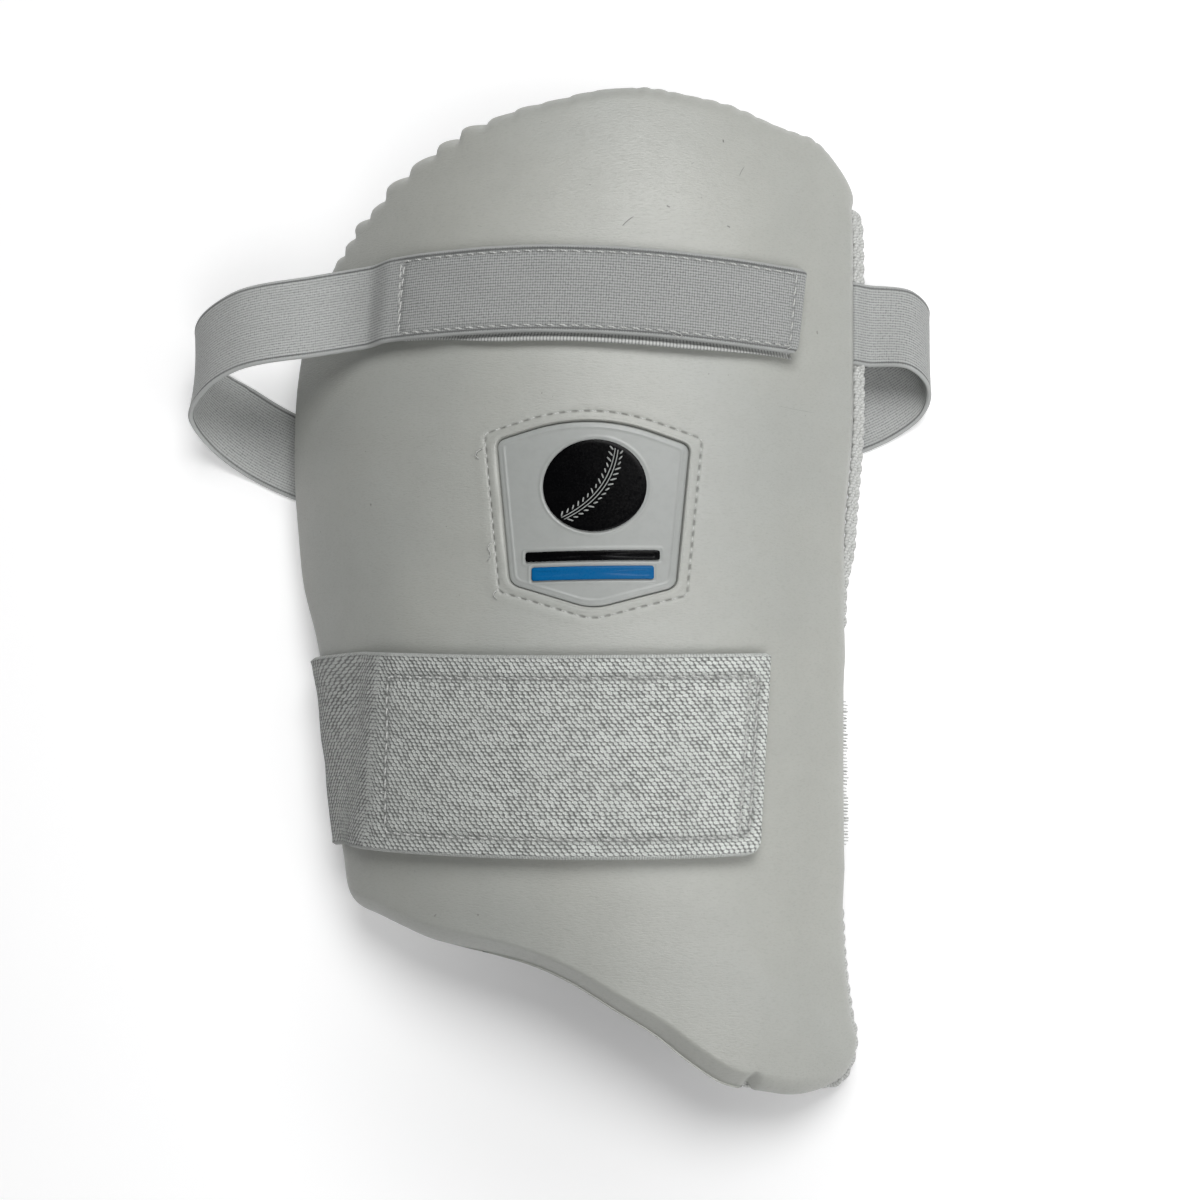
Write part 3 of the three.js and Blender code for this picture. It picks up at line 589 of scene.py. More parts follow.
def piece(name, points, faces, look, nodes=(), run=None):
    mesh = bpy.data.meshes.new(name)
    mesh.from_pydata(((np.asarray(points).reshape(-1, 3) + SHIFT) * MM).tolist(), [], faces)
    mesh.materials.append(look)
    mesh.shade_smooth()
    if run is not None:
        values = mesh.attributes.new("run_mm", "FLOAT_VECTOR", "POINT")
        values.data.foreach_set("vector", np.asarray(run, np.float32).ravel())
    obj = linked(name, mesh)
    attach(obj, "root")
    if nodes:
        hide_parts(*nodes)
    return obj


def ring_faces(rings, count, flip=False):
    """Quads between successive closed rings of count points."""
    r, i = np.meshgrid(np.arange(rings - 1), np.arange(count), indexing="ij")
    j = (i + 1) % count
    quads = np.stack([r * count + i, (r + 1) * count + i, (r + 1) * count + j, r * count + j], -1)
    quads = quads.reshape(-1, 4)
    return (quads[:, ::-1] if flip else quads).tolist()


def capped(rings, first, last):
    """Points and faces of a closed skin over closed rings, with a point closing each end."""
    count = rings.shape[1]
    points = np.vstack([rings.reshape(-1, 3), first, last])
    faces = ring_faces(len(rings), count)
    a, b, top = len(points) - 2, len(points) - 1, (len(rings) - 1) * count
    fans = [[a, i, (i + 1) % count] for i in range(count)]
    fans += [[b, top + (i + 1) % count, top + i] for i in range(count)]
    return points, faces + fans


def tubes(paths, refs, radii, sides=6, closed=False, squash=1.0):
    """Points, faces and run of many tubes along paths of the same number of points."""
    many, steps = paths.shape[:2]
    if closed:
        tangent = np.roll(paths, -1, axis=1) - np.roll(paths, 1, axis=1)
    else:
        tangent = np.gradient(paths, axis=1)
    tangent = unit(tangent)
    side = unit(np.cross(tangent, refs))
    up = np.cross(side, tangent)
    a = 2 * np.pi * np.arange(sides) / sides
    radii = np.broadcast_to(radii, (many, steps))[..., None, None]
    ring = np.cos(a)[:, None] * side[:, :, None] + np.sin(a)[:, None] * up[:, :, None] * squash
    points = paths[:, :, None] + radii * ring
    steps_long = np.linalg.norm(np.diff(paths, axis=1), axis=2)
    gone = np.concatenate([np.zeros((many, 1)), np.cumsum(steps_long, axis=1)], 1)
    run = np.stack(np.broadcast_arrays(gone[..., None], a / (2 * np.pi), np.zeros(points.shape[:3])), -1)
    base = np.array(ring_faces(steps, sides))
    if closed:
        i = np.arange(sides)
        j = (i + 1) % sides
        last = (steps - 1) * sides
        base = np.vstack([base, np.stack([last + i, i, j, last + j], 1)])
    starts = np.arange(many) * steps * sides
    faces = (base[None] + starts[:, None, None]).reshape(-1, 4).tolist()
    if not closed:
        front = np.arange(sides)
        for s in starts.tolist():
            faces.append((s + front).tolist())
            faces.append((s + (steps - 1) * sides + front[::-1]).tolist())
    return points.reshape(-1, 3), faces, run.reshape(-1, 3)


def strip_faces(rows, cols, flip=False):
    """Faces of a closed strip with its two ends. Each row is a ring, the top points and then those below."""
    faces = ring_faces(rows, 2 * cols, flip)
    for base, turned in ((0, not flip), ((rows - 1) * 2 * cols, flip)):
        for j in range(cols - 1):
            q = [base + j, base + j + 1, base + 2 * cols - 2 - j, base + 2 * cols - 1 - j]
            faces.append(q[::-1] if turned else q)
    return faces


def joined(parts):
    """Several sets of points, faces and runs as one."""
    points, faces, runs, start = [], [], [], 0
    for p, f, r in parts:
        points.append(p)
        runs.append(r)
        faces += [[k + start for k in q] for q in f]
        start += len(p)
    return np.vstack(points), faces, np.vstack(runs)


def threads(name, parts, look=THREAD, nodes=()):
    """One piece of several sets of tubes."""
    points, faces, run = joined(parts)
    piece(name, points, faces, look, nodes, run)


def rounded(corners, radius, count):
    """Even points on a closed line with its corners cut round at a distance from each, and its length."""
    marks = []
    reach = np.broadcast_to(radius, len(corners))
    for k in range(len(corners)):
        a, b, c = corners[k - 1], corners[k], corners[(k + 1) % len(corners)]
        p, q = b + unit(a - b) * reach[k], b + unit(c - b) * reach[k]
        t = np.linspace(0, 1, 20)[:, None]
        marks.append((1 - t) ** 2 * p + 2 * t * (1 - t) * b + t**2 * q)
    return evenly(np.vstack(marks), count)


# Badge window, with an arched top
WINDOW_STATIONS = 480
arched = WINDOW + np.array([[0, 0.008]] + [[0, 0]] * 4 + [[0, 0.005]])
window, _ = rounded(arched * PAD_SIZE, (21, 3.2, 3.6, 6, 3.6, 3.2), WINDOW_STATIONS)
window_out = -inward_of(window, 3)


def window_side(u, v):
    """Distance outside the badge window, negative inside it."""
    d, k = nearest(window, u, v)
    i = np.floor(k).astype(int) % WINDOW_STATIONS
    out = window_out[i]
    sign = np.sign((u - window[i, 0]) * out[..., 0] + (v - window[i, 1]) * out[..., 1])
    return d * np.where(sign == 0, 1, sign)


BADGE_STITCH_OUT = 3.6
BADGE_PITCH_ABOUT = 4.1


def grown(corners, by):
    """Corners of a clockwise outline moved out so that each edge is further out by a distance."""
    step = unit(np.roll(corners, -1, axis=0) - corners)
    out = np.stack([-step[:, 1], step[:, 0]], 1)
    last = np.roll(out, 1, axis=0)
    return corners + (out + last) / (1 + (out * last).sum(1, keepdims=True)) * by


stitch_line, stitch_girth = rounded(
    grown(arched * PAD_SIZE, BADGE_STITCH_OUT), (23, 1.4, 1.6, 5, 1.6, 1.4), WINDOW_STATIONS
)
BADGE_STITCHES = round(stitch_girth / BADGE_PITCH_ABOUT)
BADGE_PITCH = stitch_girth / BADGE_STITCHES
soft_dents = waves(11, 70)
small_dents = waves(12, 22)


WAIST_ARCH = 2.3


def waist_middle(u):
    return 0.294 * PAD_LENGTH - 0.05 * u + WAIST_ARCH * smooth((72 - u) / 90) * smooth((u + 92) / 22)


def thigh_middle(u):
    return -0.158 * PAD_LENGTH + 0.00068 * (u - 10) ** 2


def waist_slant(u):
    return 0.06 + 0 * u


def thigh_slant(u):
    return mix(-0.00136 * (u - 10), 0.09, smooth((u - 5) / 50))


def needle_hole(u, v):
    """1 in the slits between the badge's stitches, down to 0 elsewhere."""
    off, k = nearest(stitch_line, u, v)
    phase = (k / WINDOW_STATIONS * BADGE_STITCHES) % 1
    near = np.minimum(phase, 1 - phase) * BADGE_PITCH
    return hill(off, 0.3) * smooth((1.4 - near) / 0.8)


def relief(u, v, d):
    """How far the leather stands off its even surface."""
    inner = smooth((d - 3) / 12)
    out = inner * (0.22 * soft_dents(u, v) + 0.06 * small_dents(u, v))
    off = window_side(u, v)
    close = np.abs(off - BADGE_STITCH_OUT) < 4
    out = out - np.where(close, 0.14 * hill(nearest(stitch_line, u, v)[0], 0.6) + 0.4 * needle_hole(u, v), 0)
    out = out + 0.2 * hill(off - 1.6, 1.0) + 0.12 * hill(off - 6.0, 1.8)
    for middle, width in ((waist_middle(u), WAIST_WIDTH), (thigh_middle(u), THIGH_WIDTH)):
        w = np.abs(v - middle) - width / 2
        out = out - 0.45 * smooth((3 - w) / 8) * smooth((d - 14) / 20)
    return out


def on_leather(u, v, lift=0.0):
    d, _ = nearest(outline, u, v)
    return place(u, v, swell(d) + relief(u, v, d) + lift)


# Overlapping folds round the top left of the rim, smaller bumps at the top right, and a pleat at the tail.
FOLD_STARTS = [0, 7.8, 16.3, 25.6, 35.7, 48.6, 62.6, 73.6, 85.2, 97, 107, 118, 127, 138, 149, 160, 171, 182]
FOLD_RISE = 0.3
# How far folds, bumps and the pleat push the rim out, or in, and how deep their valleys are
FOLD_OUT, FOLD_IN, FOLD_SINK = 2.8, 1.3, 2.4
BUMP_OUT, BUMP_IN, BUMP_SINK = 0.9, 0.4, 0.3
PLEAT_IN, PLEAT_SINK = 3.0, 2.4


def along_outline(u, v):
    return nearest(outline, np.array([u]), np.array([v]))[1][0] * girth / STATIONS


def around_place(s, u, v, width):
    """1 at the place on the outline nearest to u, v, down to 0 over width."""
    return hill((s - along_outline(u, v) + girth / 2) % girth - girth / 2, width)


def fold_at(s):
    """Along the outline: strength and height of the folds, the same of the bumps, and the pleat."""
    start, end = along_outline(-106.0, 141.0), along_outline(16.0, 194.0)
    span = (s - start) % girth
    length = (end - start) % girth
    strong = smooth(span / 5) * mix(0.2, 1, smooth((102 - span) / 30))
    strong = strong * smooth((length - span) / 20) * (span < length)
    fold = np.interp(span, FOLD_STARTS, np.arange(len(FOLD_STARTS)))
    f = fold % 1
    rising = np.sin(np.pi / 2 * f / FOLD_RISE)
    falling = np.cos(np.pi / 2 * np.clip(f - FOLD_RISE, 0, 1) / (1 - FOLD_RISE)) ** 0.8
    back = np.where(f < FOLD_RISE, rising, falling) * (0.85 + 0.2 * np.sin(3.7 * np.floor(fold)))
    corner = along_outline(98.0, 176.0)
    after = (s - end) % girth
    reach = (corner - end) % girth
    weak = smooth(after / 10) * smooth((reach - after) / 12) * (after < reach)
    g = (after / 6.3 + 0.25 * np.sin(after / 13.0)) % 1
    bumps = np.sin(np.pi * g) ** 0.7 * (0.6 + 0.4 * np.sin(after / 5.3))
    return strong, back, weak, bumps, around_place(s, 57.0, -181.0, 1.4)


strong, back, weak, bumps, pleat = fold_at(arc)

# Along the right side the leather slopes down to the seam, which is in view where it isn't tucked under.
rim_u, rim_v = outline.T
under = smooth((26 - rim_v) / 20)
under = under * np.interp(rim_v, [-150, -114, -99, -20, -6], [0.34, 0.44, 1, 1, 0.42])
under = np.maximum(under, smooth((rim_v - 154) / 8))
bared = smooth((rim_u / PAD_GIRTH - 0.36) / 0.06) * (1 - under)
RIGHT_SLOPE = 8.0
# Along the lower left the side of the pad is a flat wall with a crease where it meets the face.
WALL_FOOT, WALL_WIDTH = 3.4, 6.2
walled = smooth((-0.26 - rim_v / PAD_LENGTH) / 0.04) * smooth((66 - rim_u) / 14)
walled = walled * mix(0.25, 1, smooth((rim_u + 75) / 60))


def rim_ring(d, n):
    """Ring of leather at a distance in from the outline, with the folds of the rim."""
    n = n * (1 - bared * 0.62 * (1 - min(1, (d + 0.6) / RIGHT_SLOPE)) ** 1.4)
    wall = WALL_FOOT + (swell(WALL_WIDTH) - WALL_FOOT) * min(1, d / WALL_WIDTH) ** 0.86 - swell(d)
    n = n + walled * wall * (0 < d < WALL_WIDTH)
    fade = 1 - smooth((d - 1.0) / 9)
    crease = 1 - smooth((d - 1.0) / 8)
    push = strong * (FOLD_OUT * back - FOLD_IN) + weak * (BUMP_OUT * bumps - BUMP_IN) - PLEAT_IN * pleat
    p = outline + inward * (d - push * fade)[:, None]
    sink = strong * (1 - back) * FOLD_SINK + weak * (1 - bumps) * BUMP_SINK
    sink = sink * crease + PLEAT_SINK * pleat * (1 - smooth((d - 0.5) / 5))
    return p, n - sink * np.clip(n / 8, 0, 1)


RIM_RINGS = [0, 0.25, 0.7, 1.3, 2.0, 2.8, 3.7, 4.6, 5.4, 6.2, 7.2, 8.5, 10.0]
tuck = SEAM_TUCK * (1 - smooth((rim_u / PAD_GIRTH - 0.33) / 0.08) * (1 - under))


def pad_rings():
    rings = []
    for share in (0.7, 0.42, 0.2, 0.08, 0.0):
        p = outline + inward * (2 + tuck)[:, None]
        p = mix(p, PAD_CENTRE, share)
        rings.append(place(*p.T, 0))
    for inset, n in ((1.0, 0.35), (0.2, 1.6)):
        p, _ = rim_ring(0.0, 0.0)
        p = outline + inward * (inset + tuck)[:, None] + (p - outline) * min(1, n / 3)
        rings.append(place(*p.T, n))
    for share in (0.35, 0.7):
        low = outline + inward * (0.2 + tuck)[:, None]
        p, h = rim_ring(0.0, swell(0.0))
        p = mix(low, p, smooth(share) ** 0.7)
        rings.append(place(*p.T, mix(1.6, h, share)))
    for d in RIM_RINGS:
        p, h = rim_ring(d, swell(d) + relief(*(outline + inward * d).T, d))
        rings.append(place(*p.T, h))
    edge = outline + inward * RIM_RINGS[-1]
    aim, spoke = (np.arctan2(*(line - WINDOW_CENTRE).T[::-1]) for line in (outline, window))
    order = np.argsort(spoke)
    spokes = np.concatenate([spoke[order] + turn for turn in (-2 * np.pi, 0, 2 * np.pi)])

    def seen_from_rim(values):
        return np.stack([np.interp(aim, spokes, np.tile(column[order], 3)) for column in values.T], 1)

    core = seen_from_rim(window)
    out = unit(seen_from_rim(window_out))
    reach = 10.0
    start = core + out * reach
    for share in np.linspace(0, 1, 47)[1:]:
        p = mix(edge, start, share)
        d, _ = nearest(outline, *p.T)
        h = swell(d) + relief(*p.T, d)
        rings.append(place(*p.T, h))
    marked = {}
    for off in np.r_[np.linspace(reach, 5.2, 9)[1:], np.linspace(4.9, 2.4, 13), np.linspace(2.1, 0.9, 4)]:
        p = core + out * off
        marked[len(rings)] = needle_hole(*p.T)
        rings.append(on_leather(*p.T))
    for off, n in ((0.62, -0.03), (0.38, -0.13), (0.18, -0.3), (0.05, -0.55), (0.0, -0.9), (0.0, -1.5),
                   (0.05, -WINDOW_DEPTH), (-3.0, -WINDOW_DEPTH), (-12.0, -WINDOW_DEPTH)):
        p = core + out * off
        lip = 0.3 if off > 0.3 else 0.3 * max(0, 1 + n)
        rings.append(place(*p.T, PAD_THICK + n + lip))
    holes = np.zeros((len(rings), STATIONS))
    for k, value in marked.items():
        holes[k] = value
    return np.array(rings), holes


rings, holes = pad_rings()
points, faces = capped(
    rings, place(*PAD_CENTRE, 0)[None], place(*WINDOW_CENTRE, PAD_THICK - WINDOW_DEPTH)[None]
)
# The run's third value is the share of a needle hole, which the leather's look paints dark as shade.
pad_run = np.zeros((len(points), 3))
pad_run[: rings.shape[0] * STATIONS, 2] = np.ravel(holes)
pad = piece("pad_leather", points, faces, LEATHER, ["face_pad"], pad_run)


# Lining: soft cloth on the hollow side, its edge run in under the seam.
def lining_rings():
    folds = waves(21, 34)
    slow = waves(22, 90)
    rings = []
    edge = outline + inward * tuck[:, None]
    low, high = -GAP - LINING_THICK, -GAP
    shares = np.r_[np.linspace(0.97, 0.06, 44), 0.035, 0.015, 0.005]
    for share in shares:
        p = mix(edge, PAD_CENTRE, share)
        depth = smooth(share / 0.12)
        sag = depth * (0.16 * folds(p[:, 0] * 1.6, p[:, 1] * 0.6) + 0.22 * slow(*p.T) + 0.3)
        rings.append(place(*p.T, low - sag * 0.6))
    for share, n in ((0.0, low + 0.25), (0.0, high - 0.25), (0.01, high), (0.3, high), (0.7, high)):
        p = mix(edge, PAD_CENTRE, share)
        rings.append(place(*p.T, n))
    return np.array(rings)


rings = lining_rings()[:, ::2]
points, faces = capped(
    rings, place(*PAD_CENTRE, -GAP - LINING_THICK - 0.18)[None], place(*PAD_CENTRE, -GAP)[None]
)
lining = piece("lining_cloth", points, faces, LINING, ["back_lining"])


# Seam: a plait of three thick strands over a core, the whole way round.
def seam_frame(s):
    k = (s / girth * STATIONS) % STATIONS
    i = np.floor(k).astype(int)
    f = (k - i)[:, None]
    j = (i + 1) % STATIONS
    p = mix(outline[i], outline[j], f)
    q = unit(mix(inward[i], inward[j], f))
    d = mix(tuck[i], tuck[j], f[:, 0]) - GAP - SEAM_WIDTH / 2
    return p, q, d, mix(bared[i], bared[j], f[:, 0])


# Where the seam is in view it is wider, further out and higher.
PROUD_WIDER, PROUD_OUT, PROUD_UP = 0.55, 1.9, 1.2


def seam_point(s, side, lift):
    p, q, d, proud = seam_frame(s)
    at = p + q * (d + side * (1 + PROUD_WIDER * proud) - PROUD_OUT * proud)[:, None]
    return place(at[:, 0], at[:, 1], SEAM_LIFT + lift + PROUD_UP * proud)


PLAIT_LONG = 15
PLAITS = round(girth / PLAIT_LONG)
turns = np.linspace(0, 2 * np.pi * PLAITS, PLAITS * 16, endpoint=False)
s = turns / (2 * np.pi * PLAITS) * girth
slack = waves(31, 60)(s, 0 * s)
up = seam_point(s, 0 * s, 1.0 + 0 * s) - seam_point(s, 0 * s, 0 * s)
parts = []
for k in range(3):
    t = turns + 2 * np.pi * k / 3
    path = seam_point(s + 0.5 * slack, (1.12 + 0.06 * slack) * np.sin(t), 0.5 * np.sin(2 * t))
    thick = (0.86 + 0.05 * np.sin(5 * s + k)) * (1 + 0.22 * seam_frame(s)[3])
    parts.append(tubes(path[None], up[None], thick[None], 7, closed=True))
parts.append(tubes(seam_point(s, 0 * s, 0 * s)[None], up[None], 0.95, 6, closed=True, squash=0.7))
threads("seam_plait", parts, nodes=["edge_seam"])


# Straps
def across(width, cols):
    return (np.arange(cols) / (cols - 1) - 0.5) * width


def side_at(v, side):
    a, b = outline, np.roll(outline, -1, axis=0)
    hit = (a[:, 1] > v) != (b[:, 1] > v)
    t = (v - a[hit, 1]) / (b[hit, 1] - a[hit, 1])
    u = mix(a[hit, 0], b[hit, 0], t) * side
    return max(0, u.max()) * side


def on_face(middle, slant, u, w):
    return u + slant(u) * w, middle(u) + w


def face_row(middle, slant, widths, u, n):
    a, b = on_face(middle, slant, u, widths)
    return place(a, b, face(a, b) + n)


def sewn_row(middle, widths, d, n):
    v = middle + widths
    return place(np.array([side_at(x, 1) for x in v]) + d, v, n)


class Band:
    """A strap swept over key rows, with its own surface to sew on."""

    def __init__(self, keys, width, thick, step, cols):
        keys = np.array(keys)
        count = keys.shape[1]
        t = np.linspace(0, len(keys) - 1, 60 * len(keys))
        line = spline(keys[:, count // 2], t)
        reach = gone_along(line)
        rows = int(reach[-1] / step)
        self.along = np.linspace(0, reach[-1], rows + 1)
        tt = np.interp(self.along, reach, t)
        rough = np.stack([spline(keys[:, j], tt) for j in range(count)], 0)
        cc = np.linspace(0, count - 1, cols)
        fine = spline(rough.reshape(count, -1), cc).reshape(cols, rows + 1, 3).transpose(1, 0, 2)
        fine[..., 2] = np.maximum(fine[..., 2], thick / 2)
        self.across = np.linspace(-width / 2, width / 2, cols)
        self.width, self.thick = width, thick
        self.middle = fine
        self.aim()

    def aim(self):
        a = np.gradient(self.middle, axis=0)
        b = np.gradient(self.middle, axis=1)
        self.normal = unit(np.cross(b, a))

    def skin(self, name, look, nodes, height, groove, edge, lip):
        """The closed strap and its length. Its top side has a relief and the grooves of its stitching."""
        a, w = np.meshgrid(self.along, self.across, indexing="ij")
        t = np.clip((np.abs(w) - (self.width / 2 - edge)) / edge, 0, 1)
        body = self.thick / 2 * np.sqrt(np.maximum(0.02, 1 - t * t))
        ends = np.minimum(a, self.along[-1] - a)
        body = body * np.sqrt(np.clip(ends / lip, 0.12, 1))
        self.top = self.middle + self.normal * (body + height(a, w))[..., None]
        low = self.middle - self.normal * body[..., None]
        low[..., 2] = np.maximum(low[..., 2], 0.02)
        self.top[..., 2] = np.maximum(self.top[..., 2], 0.02)
        rows, cols = a.shape
        ring = np.concatenate([self.top, low[:, ::-1]], 1)
        # The third value of the top's run is the stitch groove share, which the strap's look paints darker as
        # shade.
        run = np.concatenate([np.stack([a, w, groove], -1), np.stack([a, w, 0 * a], -1)[:, ::-1]], 1)
        return piece(name, ring, strip_faces(rows, cols), look, nodes, run), self.along[-1]

    def at(self, a, w, lift):
        """Points over the top side, and its outward direction."""
        i = np.interp(a, self.along, np.arange(len(self.along)))
        j = np.interp(w, self.across, np.arange(len(self.across)))
        i0 = np.minimum(np.floor(i).astype(int), len(self.along) - 2)
        j0 = np.minimum(np.floor(j).astype(int), len(self.across) - 2)
        f, g = (i - i0)[..., None], (j - j0)[..., None]

        def pick(m):
            return mix(mix(m[i0, j0], m[i0 + 1, j0], f), mix(m[i0, j0 + 1], m[i0 + 1, j0 + 1], f), g)

        normal = unit(pick(self.normal))
        return pick(self.top) + normal * np.asarray(lift)[..., None], normal


def stitches(line, surface, pitch, length, radius, rise, slant, seed, jitter=0.1):
    """Thread stitches along a line of points on a surface."""
    line = np.asarray(line, float)
    reach = gone_along(line)
    count = max(1, int(round(reach[-1] / pitch)))
    pitch = reach[-1] / count
    draw = np.random.default_rng(seed)
    start = (np.arange(count) + 0.5) * pitch + draw.uniform(-jitter, jitter, count)
    t = np.linspace(-0.5, 0.5, 9)
    long = length * draw.uniform(0.92, 1.06, count)
    s = start[:, None] + t[None] * long[:, None]
    x, y = (np.interp(s, reach, line[:, k]) for k in (0, 1))
    dx, dy = (np.interp(s + 0.3, reach, line[:, k]) - np.interp(s - 0.3, reach, line[:, k]) for k in (0, 1))
    size = np.maximum(np.hypot(dx, dy), 1e-6)
    tilt = slant * t[None] * draw.uniform(0.4, 1.5, count)[:, None]
    x, y = x - dy / size * tilt, y + dx / size * tilt
    lift = rise * np.cos(np.pi * t) ** 0.6 - 0.28
    points, normal = surface(x, y, np.broadcast_to(lift, x.shape))
    radii = radius * np.array([0.55, 0.9, 1, 1.04, 1.05, 1.04, 1, 0.9, 0.55])
    return tubes(points, normal, radii[None], 6)


def box_line(corners, radius):
    """Closed line through corners in along and across, with its first point again at its end."""
    line, _ = rounded(np.array(corners, float), radius, 400)
    return np.vstack([line, line[:1]])


def groove_of(line, a, w, width):
    """How close points are to a line of stitches, from 0 to 1."""
    near = np.full(a.shape, 1e9)
    for p, q in zip(line[:-1:4], line[4::4]):
        d = q - p
        t = np.clip(((a - p[0]) * d[0] + (w - p[1]) * d[1]) / max((d**2).sum(), 1e-9), 0, 1)
        near = np.minimum(near, np.hypot(a - p[0] - t * d[0], w - p[1] - t * d[1]))
    return hill(near, width)


WAIST_END = 0.32 * PAD_GIRTH
WAIST_TAPE = (-0.25 * PAD_GIRTH, WAIST_END - 3)
THIGH_END = 0.246 * PAD_GIRTH
THIGH_TAPE = (-0.28 * PAD_GIRTH, THIGH_END - 4)
FACE_STEPS = 1 - np.arange(19) / 18

waist_cols = across(WAIST_WIDTH, 3)
waist_over = SEAM_LIFT + SEAM_THICK / 2 + GAP + WAIST_THICK / 2
waist_v = waist_middle(0)
waist_left = place(side_at(waist_v, -1), waist_v, 0)
waist_right = place(side_at(waist_v, 1), waist_v, 0)
left_x = waist_left[0] - 49
right_x = waist_right[0] + 31
shoulder = place(WAIST_TAPE[0] - 10, waist_middle(WAIST_TAPE[0] - 10), PAD_THICK + 6)
free = [
    [mix(shoulder[0], left_x, out), waist_v - tail, shoulder[2] * up]
    for out, tail, up in ((0.3, 0, 0.93), (0.72, 2, 0.74), (0.94, 8, 0.51), (1, 16, 0.26), (0.89, 25, 0.077))
]
free += [
    [mix(left_x, right_x, share), waist_v - tail, WAIST_THICK / 2]
    for share, tail in (
        (0.08, 35), (0.168, 47), (0.282, 55), (0.524, 54), (0.692, 45), (0.852, 35), (0.932, 26)
    )
]
free += [
    [right_x - inside, waist_v - tail, waist_right[2] * up]
    for inside, tail, up in ((4, 16, 0.18), (0, 8, 0.46), (7, 2, 0.83))
]
free = np.array(free)


# How far the rows of the right loop turn square to the strap's course. Fully turned, the loop looks wavy.
RIGHT_LOOP_SQUARE = 0.3


def free_row(k, widths):
    """Points across the waist strap, where it is off the pad."""
    along = unit(free[min(len(free) - 1, k + 1)] - free[max(0, k - 1)])
    side = np.array([0.0, 1, 0])
    square = RIGHT_LOOP_SQUARE if k > len(free) - 4 else 1.0
    side = unit(side - along * side.dot(along) * square)
    return free[k] + side * widths[:, None]


waist_us = mix(WAIST_TAPE[0] - 4, WAIST_END, FACE_STEPS)
waist_lies = STRAP_LOW + WAIST_THICK / 2
waist_keys = [face_row(waist_middle, waist_slant, waist_cols, u, waist_lies) for u in waist_us]
waist_keys += [free_row(k, waist_cols) for k in range(len(free))]
waist_keys += [sewn_row(waist_v, waist_cols, d, waist_over) for d in (SEAM_WIDTH + 4, SEAM_WIDTH / 2, GAP)]

waist = Band(waist_keys, WAIST_WIDTH, WAIST_THICK, step=1.1, cols=45)
half = WAIST_WIDTH / 2
waist_box = box_line([[4.4, 2.6 - half], [157.5, 2.6 - half], [157.5, half - 2.5], [4.4, half - 2.5]], 1.2)


def trimmed(band, low, high, pull):
    """Rounds the free end's two corners and slants the end."""
    a, w = np.meshgrid(band.along, band.across, indexing="ij")
    half = band.width / 2
    cut = np.zeros(w.shape)
    for sign, radius in ((-1, low), (1, high)):
        t = np.clip((sign * w - (half - radius)) / radius, 0, 1)
        cut = cut + radius * (1 - np.sqrt(np.maximum(0, 1 - t * t)))
    cut = cut + pull * (0.5 - w / band.width)
    direction = unit(np.gradient(band.middle, axis=0))
    band.middle = band.middle + direction * (cut * (1 - smooth(a / 14)))[..., None]


trimmed(waist, low=4.0, high=2.0, pull=2.5)
waist_groove = groove_of(waist_box, *np.meshgrid(waist.along, waist.across, indexing="ij"), 0.8)
waist_wobble = waves(41, 26)


def waist_height(a, w):
    on_face_run = 1 - smooth((a - 150) / 12)
    edge = hill(np.abs(w) - (WAIST_WIDTH / 2 - 0.9), 0.7)
    return -0.5 * waist_groove + 0.12 * edge + 0.14 * waist_wobble(a, w * 1.5) * on_face_run


# The free end stands up a little, and the strap dips past its sewn part.
WAIST_END_UP, WAIST_DIP = 0.9, 3.8
a = waist.along
waist_lift = WAIST_END_UP * (1 - smooth(a / 26))
waist_lift = waist_lift - WAIST_DIP * smooth((a - 163) / 11) * (1 - smooth((a - 176) / 55))
waist.middle = waist.middle + waist.normal * waist_lift[:, None, None]
waist.aim()
waist_strap, waist_length = waist.skin(
    "waist_elastic", WAIST, ["waist_strap"], waist_height, waist_groove, edge=0.9, lip=0.8
)

thigh_cols = across(THIGH_WIDTH, 7)
thigh_over = SEAM_LIFT + SEAM_THICK / 2 + GAP + THIGH_THICK / 2
thigh_loose = THIGH_THICK / 2 + 4 * GAP
thigh_v = thigh_middle(-0.37 * PAD_GIRTH)
thigh_sides = {s: np.array([side_at(thigh_v + w, s) for w in thigh_cols]) for s in (-1, 1)}


# Where the strap is sewn on, the seam is tucked in under the right edge, and the strap with it.
tucked = np.array([4.2 + 1.6 * smooth((w - 6) / 26) for w in thigh_cols])


def thigh_row(side, d, n):
    return place(thigh_sides[side] + d - (tucked if side > 0 else 0), thigh_v + thigh_cols, n)


def ground_row(x):
    return np.stack([0 * thigh_cols + x, thigh_v + thigh_cols, 0 * thigh_cols + THIGH_THICK / 2], 1)


def ground_under(side, d):
    return ground_row(thigh_row(side, d, 0.0)[:, 0])


def thigh_lift(u):
    return mix(thigh_loose, STRAP_LOW + THIGH_THICK / 2, smooth((u - THIGH_TAPE[0] + 16) / 12))


